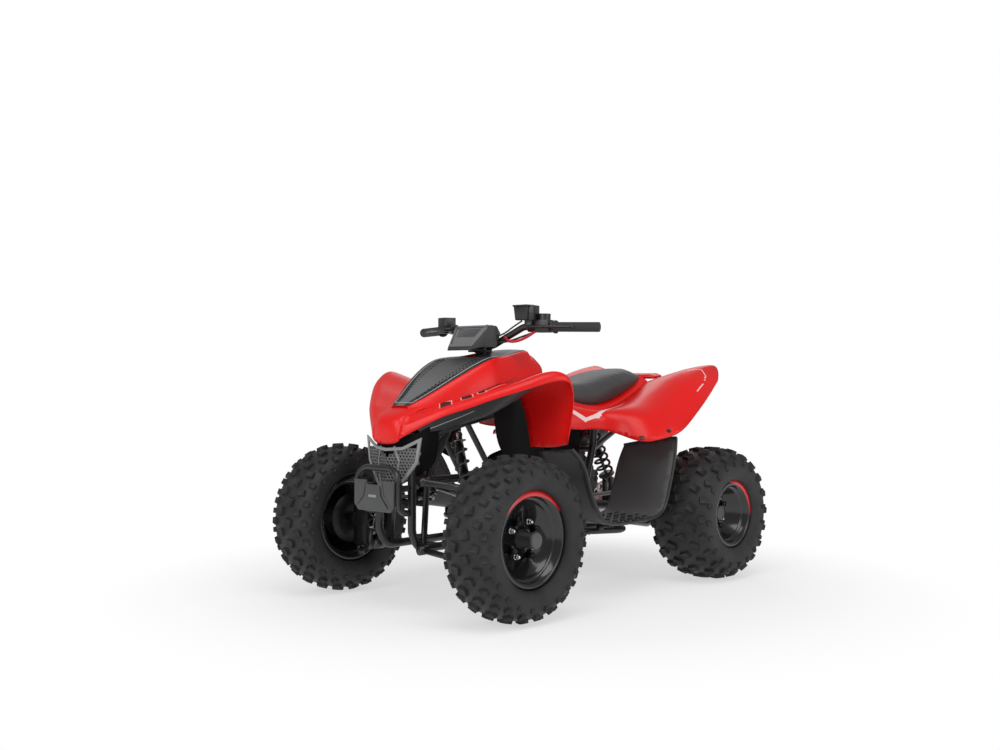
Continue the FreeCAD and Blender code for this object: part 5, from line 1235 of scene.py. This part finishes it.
# The rows of slots in the inlay: their shares of the half width, their front, pitch and count
SLOT_SHARES = (0.70, 0.56)
SLOT_FRONT = 0.562
SLOT_STEP = 0.0125
SLOT_COUNT = 18
SLOT_SIZE = (0.0075, 0.0034, 0.0020)
SLOT_LIFT = 0.0020
SLOT_SLOPE = Matrix.Rotation(math.radians(30), 4, "Y")
SLOT_TURN = math.radians(28)


class QUAD_OT_hood(bpy.types.Operator):
    """The raised hood, its grey inlay with a dark border, a pale line and rows of slots"""

    bl_idname = "quad.hood"
    bl_label = "Hood"

    def execute(self, context):
        shell = hood_sheet("hood_shell", SHELL_SHARES, True, 0.0, 0.0024)
        finished(shell, "chassis", "gloss_red", angle=50)
        inlay = hood_sheet("hood_inlay", INLAY_SHARES, False, 0.0016, 0.0016)
        finished(inlay, "chassis", "hood_inlay", angle=50)
        routes = [[hood_at(LINE_FRONT - LINE_STEP * step, LINE_SHARE * way, LINE_LIFT)
                   for step in range(LINE_POINTS)] for way in (1, -1)]
        routes.append([hood_at(LINE_FRONT, LINE_SHARE * share, LINE_LIFT)
                       for share in (-1, -0.5, 0, 0.5, 1)])
        line = merged([welded_bar("inlay_line", route, LINE_RADIUS) for route in routes],
                      "hood_inlay_line")
        finished(line, "chassis", "grey_line")
        block = cube("slot", (0, 0, 0), SLOT_SIZE)
        bevelled(block, 0.0007)
        places = []
        for way in (1, -1):
            turn = SLOT_SLOPE @ Matrix.Rotation(SLOT_TURN * way, 4, "Z")
            for share in SLOT_SHARES:
                for step in range(SLOT_COUNT):
                    spot = hood_at(SLOT_FRONT - SLOT_STEP * step, share * way, SLOT_LIFT)
                    places.append(Matrix.Translation(spot) @ turn)
        slots = repeated(block, "hood_slots", places)
        thrown_away(block)
        finished(slots, "chassis", "deep_black")
        return {"FINISHED"}


GRILLE_MIDDLE = 0.664
GRILLE_EDGE = (0.630, 0.124)
GRILLE_OUTLINE = ((0.000, 0.493), (0.058, 0.497), (0.123, 0.527), (0.110, 0.450),
                  (0.071, 0.401), (0.041, 0.368), (0.000, 0.366))
GRILLE_RIBS = (((0.030, 0.498), (0.046, 0.452)), ((0.046, 0.452), (0.030, 0.372)))
CELL_PITCH = 0.0108
CELL_WALL = 0.0021
CELL_DEPTH = 0.007


def grille_front(y):
    """How far forward the folded grille stands at a place across it."""
    return GRILLE_MIDDLE + (GRILLE_EDGE[0] - GRILLE_MIDDLE) * abs(y) / GRILLE_EDGE[1]


def in_grille(y, z, rim):
    """True where a place lies inside the grille's outline by a rim."""
    for (y0, z0), (y1, z1) in zip(GRILLE_OUTLINE, GRILLE_OUTLINE[1:]):
        run = Vector((y1 - y0, z1 - z0)).normalized()
        if (abs(y) - y0) * run.y - (z - z0) * run.x < rim:
            return False
    return True


def folded(piece):
    """Lays a flat piece that stands at X = 0 onto the grille's fold."""
    for vertex in piece.data.vertices:
        vertex.co.x += grille_front(vertex.co.y)
    return piece


def hexagon_cell():
    """One cell of the mesh: a hexagonal ring."""
    alone()
    bpy.ops.mesh.primitive_circle_add(vertices=6, radius=CELL_PITCH / math.sqrt(3),
                                      fill_type="NGON", rotation=(0, 0, math.radians(30)))
    cell = settled(named("cell"))
    opened(cell)
    bpy.ops.mesh.inset(thickness=CELL_WALL / 2)
    bpy.ops.mesh.delete(type="FACE")
    bpy.ops.mesh.select_all(action="SELECT")
    bpy.ops.mesh.extrude_region_move(TRANSFORM_OT_translate={"value": (0, 0, -CELL_DEPTH)})
    bpy.ops.mesh.select_all(action="SELECT")
    bpy.ops.mesh.normals_make_consistent(inside=False)
    shut()
    cell.data.transform(Matrix.Rotation(math.pi / 2, 4, "X"))
    cell.data.transform(Matrix.Rotation(math.pi / 2, 4, "Z"))
    return cell


def grille_rim():
    """The grille's raised frame, with a rolled outer edge."""
    ring = [(0, y, z) for y, z in GRILLE_OUTLINE]
    ring += [(0, -y, z) for y, z in reversed(GRILLE_OUTLINE[1:-1])]
    rim = drawn("grille_rim", ring)
    opened(rim, "EDGE")
    bpy.ops.mesh.edge_face_add()
    bpy.ops.mesh.select_mode(type="FACE")
    bpy.ops.mesh.select_all(action="SELECT")
    bpy.ops.mesh.inset(thickness=0.010)
    bpy.ops.mesh.delete(type="FACE")
    bpy.ops.mesh.select_all(action="SELECT")
    bpy.ops.mesh.extrude_region_move(TRANSFORM_OT_translate={"value": (0.006, 0, 0)})
    bpy.ops.mesh.select_all(action="SELECT")
    bpy.ops.mesh.normals_make_consistent(inside=False)
    shut()
    opened(rim)
    bpy.ops.mesh.bisect(plane_co=(0, 0, 0), plane_no=(0, 1, 0))
    shut()
    bevelled(rim, 0.0016)
    rim.data.transform(Matrix.Translation((-0.006, 0, 0)))
    return rim


class QUAD_OT_grille(bpy.types.Operator):
    """The grille: a honeycomb mesh in a rolled frame, with two crossing ribs"""

    bl_idname = "quad.grille"
    bl_label = "Grille"

    def execute(self, context):
        cell = hexagon_cell()
        places = []
        rise = CELL_PITCH * math.sqrt(3) / 2
        low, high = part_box("grille")
        rows = int((high.z - low.z) / rise)
        columns = int(high.y / CELL_PITCH) + 1
        for row in range(rows + 1):
            for column in range(-columns, columns + 1):
                y = (column + row % 2 / 2) * CELL_PITCH
                z = low.z + row * rise
                if in_grille(y, z, 0.005):
                    places.append(Matrix.Translation((-0.004, y, z)))
        mesh = repeated(cell, "grille_mesh", places)
        thrown_away(cell)
        ribs = paired_bars("grille_rib", GRILLE_RIBS, -0.003, 0.0028)
        piece = folded(merged([mesh, grille_rim()] + ribs, "honeycomb_grille"))
        finished(piece, "chassis", "mesh_grey", ["grille"], angle=30)
        return {"FINISHED"}


WELL_EDGE = ((0.246, 0.385, 0.485), (0.204, 0.398, 0.446), (0.180, 0.400, 0.358),
             (0.138, 0.410, 0.266), (0.098, 0.420, 0.2425), (-0.060, 0.415, 0.2405),
             (-0.200, 0.390, 0.2435), (-0.246, 0.384, 0.2745), (-0.270, 0.390, 0.364),
             (-0.290, 0.394, 0.448), (-0.300, 0.388, 0.500))
WELL_TOP = ((-0.300, 0.388, 0.500), (-0.305, 0.315, 0.493), (-0.310, 0.232, 0.480),
            (-0.312, 0.160, 0.466))
EDGE_RADIUS = 0.0048
CLEAT = (0.022, 0.007, 0.006)
CLEAT_ROWS = (0.225, 0.268, 0.311, 0.354, 0.388)
CLEAT_PLACES = (-0.185, -0.145, -0.105, -0.065, -0.025, 0.015, 0.055)
CLEAT_STAGGER = 0.02
CLEAT_HEIGHT = 0.2435


class QUAD_OT_footwells(bpy.types.Operator):
    """The footwells' rolled edges and the cleats on their floors"""

    bl_idname = "quad.footwells"
    bl_label = "Footwell edges"

    def execute(self, context):
        for side, way in SIDES:
            pieces = []
            for number, route in enumerate((WELL_EDGE, WELL_TOP)):
                points = [(x, y * way, z) for x, y, z in route]
                pieces.append(welded_bar(f"well_edge_{number}", points, EDGE_RADIUS))
            rim = merged(pieces, f"well_edges_{side}")
            finished(rim, "chassis", "grained_black", angle=50)
            cleat = cube("cleat", (0, 0, 0), CLEAT)
            bevelled(cleat, 0.0018)
            places = []
            for row, across in enumerate(CLEAT_ROWS):
                for along in CLEAT_PLACES:
                    spot = (along + CLEAT_STAGGER * (row % 2), across * way, CLEAT_HEIGHT)
                    places.append(Matrix.Translation(spot))
            cleats = repeated(cleat, f"floor_cleats_{side}", places)
            thrown_away(cleat)
            finished(cleats, "chassis", "grained_black")
        return {"FINISHED"}


# The red ledges that close the rear panel to the seat: the place along, the panel's inner edge
# out and up, and the seat's underside out and up
LEDGE_STATIONS = ((0.050, 0.128, 0.628, 0.085, 0.655), (0.000, 0.128, 0.622, 0.092, 0.648),
                  (-0.050, 0.128, 0.611, 0.100, 0.633), (-0.100, 0.128, 0.597, 0.108, 0.618),
                  (-0.150, 0.128, 0.588, 0.111, 0.608), (-0.200, 0.129, 0.586, 0.112, 0.605),
                  (-0.250, 0.132, 0.594, 0.106, 0.611), (-0.300, 0.132, 0.607, 0.101, 0.623),
                  (-0.350, 0.132, 0.624, 0.097, 0.639), (-0.400, 0.132, 0.645, 0.094, 0.660),
                  (-0.450, 0.130, 0.666, 0.090, 0.683), (-0.500, 0.126, 0.685, 0.086, 0.709))


class QUAD_OT_ledges(bpy.types.Operator):
    """Red ledges that close the rear panel to the seat's underside"""

    bl_idname = "quad.ledges"
    bl_label = "Seat ledges"

    def execute(self, context):
        for side, way in SIDES:
            rows = []
            for along, out, low, inner, high in LEDGE_STATIONS:
                section = ((out, low - 0.001), (out - 0.004, low + 0.006),
                           (inner + 0.004, high - 0.002), (inner, high))
                rows.append([(along, across * way, up) for across, up in section])
            piece = sheet_of(f"seat_ledge_{side}", rows, 0.002)
            finished(piece, "chassis", "gloss_red", angle=50)
        return {"FINISHED"}


# The dark shroud behind the grille and beside the frame's nose: rows from the middle outwards
SHROUD_ROWS = (((0.640, 0.000, 0.525), (0.640, 0.000, 0.450), (0.640, 0.000, 0.375)),
               ((0.628, 0.060, 0.530), (0.628, 0.055, 0.450), (0.630, 0.040, 0.380)),
               ((0.610, 0.112, 0.545), (0.610, 0.098, 0.450), (0.616, 0.062, 0.400)),
               ((0.585, 0.118, 0.560), (0.585, 0.104, 0.455), (0.592, 0.084, 0.415)),
               ((0.545, 0.112, 0.580), (0.545, 0.106, 0.480), (0.550, 0.098, 0.440)))


class QUAD_OT_shroud(bpy.types.Operator):
    """The dark shroud behind the grille, turned back along the frame's nose"""

    bl_idname = "quad.shroud"
    bl_label = "Nose shroud"

    def execute(self, context):
        rows = [[(x, -y, z) for x, y, z in row] for row in SHROUD_ROWS[:0:-1]]
        rows += [list(row) for row in SHROUD_ROWS]
        piece = sheet_of("nose_shroud", rows, 0.003)
        finished(piece, "chassis", "deep_black")
        return {"FINISHED"}


# The dark guards inside the front fenders, seen past the wheels
GUARD_ROWS = (((0.350, 0.150, 0.650), (0.342, 0.150, 0.560), (0.322, 0.148, 0.470)),
              ((0.285, 0.156, 0.676), (0.270, 0.156, 0.560), (0.250, 0.152, 0.440)),
              ((0.215, 0.170, 0.690), (0.200, 0.168, 0.560), (0.185, 0.162, 0.420)),
              ((0.150, 0.205, 0.690), (0.148, 0.196, 0.560), (0.150, 0.186, 0.430)))


class QUAD_OT_guards(bpy.types.Operator):
    """Dark inner guards behind the front wheels"""

    bl_idname = "quad.guards"
    bl_label = "Inner guards"

    def execute(self, context):
        for side, way in SIDES:
            rows = [[(x, y * way, z) for x, y, z in row] for row in GUARD_ROWS]
            piece = sheet_of(f"inner_guard_{side}", rows, 0.003)
            finished(piece, "chassis", "deep_black")
        return {"FINISHED"}


# Panel bolts: a place on the panel's outside, and the way that it faces
PANEL_BOLTS = (((-0.1735, 0.3381, 0.5017), (0.68, 0.59, 0.44)),
               ((-0.2624, 0.3845, 0.5234), (0.44, 0.59, 0.67)))


def bolt_head(name):
    """A button head with a round socket, standing along Z."""
    head = round_bar(name, (0, 0, 0.0018), 0.0075, 0.0036, vertices=28)
    bevelled(head, 0.0014, segments=3)
    pressed(head, lambda middle, normal: normal.z > 0.95 and middle.z > 0.0030,
            (0.0030, (0, 0, -0.0016)))
    return head


class QUAD_OT_bolts(bpy.types.Operator):
    """Button-head bolts in the rear panels"""

    bl_idname = "quad.bolts"
    bl_label = "Panel bolts"

    def execute(self, context):
        head = bolt_head("bolt")
        places = []
        for place, facing in PANEL_BOLTS:
            for way in (1, -1):
                turn = Vector((facing[0], facing[1] * way, facing[2])).to_track_quat("Z", "X")
                spot = Matrix.Translation((place[0], place[1] * way, place[2]))
                places.append(spot @ turn.to_matrix().to_4x4())
        piece = repeated(head, "panel_bolts", places)
        thrown_away(head)
        finished(piece, "chassis", "black_paint")
        return {"FINISHED"}


# Handlebar, pod and bumper


def run_of(piece):
    """The length of a curve's own line."""
    twin = piece.copy()
    twin.data = piece.data.copy()
    twin.data.bevel_depth = 0
    bpy.context.scene.collection.objects.link(twin)
    alone(twin)
    bpy.ops.object.convert(target="MESH")
    points = [vertex.co.copy() for vertex in twin.data.vertices]
    thrown_away(twin)
    return sum((end - start).length for start, end in zip(points, points[1:]))


def corded(name, points, diameter, finish):
    """A cord on the handlebar, both its ends in the object."""
    piece = curve_through(name, points, diameter / 2, 12)
    piece.data.materials.clear()
    piece.data.materials.append(bpy.data.materials[finish])
    length = run_of(piece)
    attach(piece, "steering")
    return piece


# Each cord's line, from where it leaves the object to where it goes back in
CORDS = (
    ("brake_cable", 0.0052, "grip_rubber", "grip_rubber", "medium",
     ((0.214, 0.150, 0.885), (0.226, 0.125, 0.868), (0.236, 0.096, 0.846), (0.250, 0.070, 0.834),
      (0.266, 0.045, 0.833))),
    ("switch_cable", 0.0060, "grip_rubber", "grip_rubber", "medium",
     ((0.196, 0.205, 0.852), (0.212, 0.160, 0.838), (0.226, 0.115, 0.822), (0.240, 0.078, 0.815),
      (0.262, 0.045, 0.822))),
    ("throttle_cable", 0.0056, "grip_rubber", "grip_rubber", "medium",
     ((0.186, -0.225, 0.876), (0.202, -0.185, 0.866), (0.224, -0.135, 0.850),
      (0.244, -0.088, 0.838), (0.266, -0.045, 0.836))),
    ("red_strap", 0.0090, "strap_red", "red_plastic", "limp",
     ((0.196, 0.205, 0.860), (0.213, 0.188, 0.840), (0.231, 0.155, 0.821), (0.242, 0.124, 0.817),
      (0.235, 0.098, 0.827), (0.224, 0.085, 0.840))),
)


class QUAD_OT_cables(bpy.types.Operator):
    """The handlebar's cables, and the red strap under its left side"""

    bl_idname = "quad.cables"
    bl_label = "Cables"

    def execute(self, context):
        for name, diameter, finish, slot, stiffness, points in CORDS:
            corded(name, points, diameter, finish)
        return {"FINISHED"}


POD_FACE = ((0.3445, -0.0520, 0.8015), (0.3445, 0.0520, 0.8015), (0.2850, 0.0750, 0.8700),
            (0.2850, -0.0750, 0.8700))
SCREEN_SHARE = 0.66
POD_OUT = Vector((0.758, 0, 0.653))


class QUAD_OT_pod(bpy.types.Operator):
    """The instrument pod's grey face with its dark screen"""

    bl_idname = "quad.pod"
    bl_label = "Instrument pod"

    def execute(self, context):
        outline = [Vector(point) + POD_OUT * 0.0004 for point in POD_FACE]
        face = plate_of("pod_face", outline, POD_OUT * 0.0030)
        bevelled(face, 0.0012)
        pressed(face, lambda middle, normal: normal.dot(POD_OUT) > 0.9,
                (0.0100, -POD_OUT * 0.0012))
        finished(face, "steering", "pod_grey")
        middle = sum((Vector(point) for point in POD_FACE), Vector()) / 4
        inner = [middle + (Vector(point) - middle) * SCREEN_SHARE + POD_OUT * 0.0021
                 for point in POD_FACE]
        screen = plate_of("pod_screen", inner, POD_OUT * 0.0010)
        bevelled(screen, 0.0004)
        finished(screen, "steering", "screen_black")
        return {"FINISHED"}


RESERVOIR = ((0.232, 0.171, 0.9075), (0.034, 0.056, 0.044))
RESERVOIR_LID = ((0.232, 0.171, 0.9315), (0.038, 0.060, 0.0060))


class QUAD_OT_reservoir(bpy.types.Operator):
    """The brake's reservoir with its screwed lid"""

    bl_idname = "quad.reservoir"
    bl_label = "Reservoir"

    def execute(self, context):
        tank = cube("reservoir", *RESERVOIR)
        chosen(tank, lambda middle, normal: normal.z < -0.9)
        bpy.ops.transform.resize(value=(0.78, 0.88, 1))
        shut()
        bevelled(tank, 0.0034, segments=3)
        lid = cube("reservoir_lid", *RESERVOIR_LID)
        bevelled(lid, 0.0018, segments=3)
        pressed(lid, lambda middle, normal: normal.z > 0.95, (0.0040, (0, 0, -0.0010)))
        piece = merged([tank, lid], "reservoir")
        finished(piece, "steering", "satin_black")
        head = bolt_head("screw")
        small = Matrix.Scale(0.42, 4)
        places = []
        for way in (1, -1):
            spot = Vector(RESERVOIR_LID[0]) + Vector((0.010 * way, 0.021 * way, 0.0020))
            places.append(Matrix.Translation(spot) @ small)
        screws = repeated(head, "reservoir_screws", places)
        thrown_away(head)
        finished(screws, "steering", "zinc")
        return {"FINISHED"}


PLATE_FRONT = 0.7095
PLATE_OUTLINE = ((-0.030, 0.386), (0.030, 0.386), (0.034, 0.352), (0.066, 0.316), (-0.066, 0.316),
                 (-0.034, 0.352))
PLATE_CREASES = (((0.038, 0.392), (0.046, 0.350)), ((0.046, 0.350), (0.078, 0.320)))


class QUAD_OT_plate(bpy.types.Operator):
    """The bumper plate's raised middle, with a bare rounded place, and its creases"""

    bl_idname = "quad.plate"
    bl_label = "Bumper plate"

    def execute(self, context):
        outline = [(PLATE_FRONT, y, z) for y, z in PLATE_OUTLINE]
        middle = plate_of("plate_middle", outline, (0.0045, 0, 0))
        bevelled(middle, 0.0016, segments=3)
        creases = paired_bars("plate_crease", PLATE_CREASES, PLATE_FRONT, 0.0022)
        piece = merged([middle] + creases, "plate_relief")
        finished(piece, "chassis", "plate_grey")
        bare = cube("plate_bare", (PLATE_FRONT + 0.0048, 0, 0.352), (0.0014, 0.034, 0.0080))
        bevelled(bare, 0.0006)
        finished(bare, "chassis", "mesh_grey")
        return {"FINISHED"}


# Seat


class QUAD_OT_seat(bpy.types.Operator):
    """The seat's padding, swollen by a cloth pass"""

    bl_idname = "quad.seat"
    bl_label = "Seat"

    def execute(self, context):
        sizes = context.scene.quad_seat
        pad = copied(NODES["seat"], "seat_pad")
        pad.modifiers.clear()
        opened(pad, "VERT")
        bpy.ops.mesh.remove_doubles(threshold=0.0001)
        bpy.ops.mesh.normals_make_consistent(inside=False)
        bpy.ops.transform.shrink_fatten(value=-sizes.inset)
        shut()
        shaped(pad, "REMESH", mode="VOXEL", voxel_size=sizes.voxel)
        rest = [vertex.co.copy() for vertex in pad.data.vertices]
        swollen = swelled(pad, sizes)
        for vertex, start, end in zip(pad.data.vertices, rest, swollen):
            step = end - start
            step.length = min(step.length, sizes.swell)
            vertex.co = start + step
        shaped(pad, "SMOOTH", factor=0.5, iterations=6)
        shaped(pad, "SUBSURF", levels=1, render_levels=1)
        piece = settled(pad)
        finished(piece, "chassis", "seat_vinyl", ["seat"], angle=60)
        return {"FINISHED"}


def swelled(pad, sizes):
    """Where each point of the padding lies after the cloth pass."""
    cloth = pad.modifiers.new("swell", "CLOTH")
    cloth.settings.use_pressure = True
    cloth.settings.uniform_pressure_force = sizes.pressure
    cloth.settings.effector_weights.gravity = 0
    cloth.settings.quality = 5
    scene = bpy.context.scene
    for number in range(1, sizes.frames + 1):
        scene.frame_set(number)
    graph = bpy.context.evaluated_depsgraph_get()
    shape = pad.evaluated_get(graph).to_mesh()
    places = [vertex.co.copy() for vertex in shape.vertices]
    pad.evaluated_get(graph).to_mesh_clear()
    pad.modifiers.remove(cloth)
    scene.frame_set(1)
    return places


class QUAD_PT_panel(bpy.types.Panel):
    """Lists the quad bike's pieces and the sizes that may be changed"""

    bl_idname = "QUAD_PT_panel"
    bl_label = "Quad bike"
    bl_space_type = "VIEW_3D"
    bl_region_type = "UI"
    bl_category = "Quad"

    def draw(self, context):
        layout = self.layout
        for group in (context.scene.quad_paint, context.scene.quad_tyre, context.scene.quad_seat):
            box = layout.box()
            for key in group.bl_rna.properties.keys():
                if key not in ("rna_type", "name"):
                    box.prop(group, key)
        for operator in OPERATORS:
            layout.operator(operator.bl_idname)


OPERATORS = (QUAD_OT_camera, QUAD_OT_stage, QUAD_OT_finishes, QUAD_OT_tyres, QUAD_OT_nuts,
             QUAD_OT_caps, QUAD_OT_hood, QUAD_OT_grille, QUAD_OT_footwells, QUAD_OT_ledges,
             QUAD_OT_shroud, QUAD_OT_guards, QUAD_OT_bolts, QUAD_OT_cables, QUAD_OT_pod,
             QUAD_OT_reservoir, QUAD_OT_plate, QUAD_OT_seat)
GROUPS = (QuadPaint, QuadTyre, QuadSeat)


def register():
    for kind in GROUPS + OPERATORS + (QUAD_PT_panel,):
        bpy.utils.register_class(kind)
    bpy.types.Scene.quad_paint = PointerProperty(type=QuadPaint)
    bpy.types.Scene.quad_tyre = PointerProperty(type=QuadTyre)
    bpy.types.Scene.quad_seat = PointerProperty(type=QuadSeat)


def unregister():
    del bpy.types.Scene.quad_paint
    del bpy.types.Scene.quad_tyre
    del bpy.types.Scene.quad_seat
    for kind in reversed(GROUPS + OPERATORS + (QUAD_PT_panel,)):
        bpy.utils.unregister_class(kind)


def main():
    register()
    bpy.ops.quad.camera()
    bpy.ops.quad.stage()
    bpy.ops.quad.finishes()
    bpy.ops.quad.tyres()
    bpy.ops.quad.nuts()
    bpy.ops.quad.caps()
    bpy.ops.quad.hood()
    bpy.ops.quad.grille()
    bpy.ops.quad.footwells()
    bpy.ops.quad.ledges()
    bpy.ops.quad.shroud()
    bpy.ops.quad.guards()
    bpy.ops.quad.bolts()
    bpy.ops.quad.cables()
    bpy.ops.quad.pod()
    bpy.ops.quad.reservoir()
    bpy.ops.quad.plate()
    bpy.ops.quad.seat()


if __name__ == "__main__":
    main()
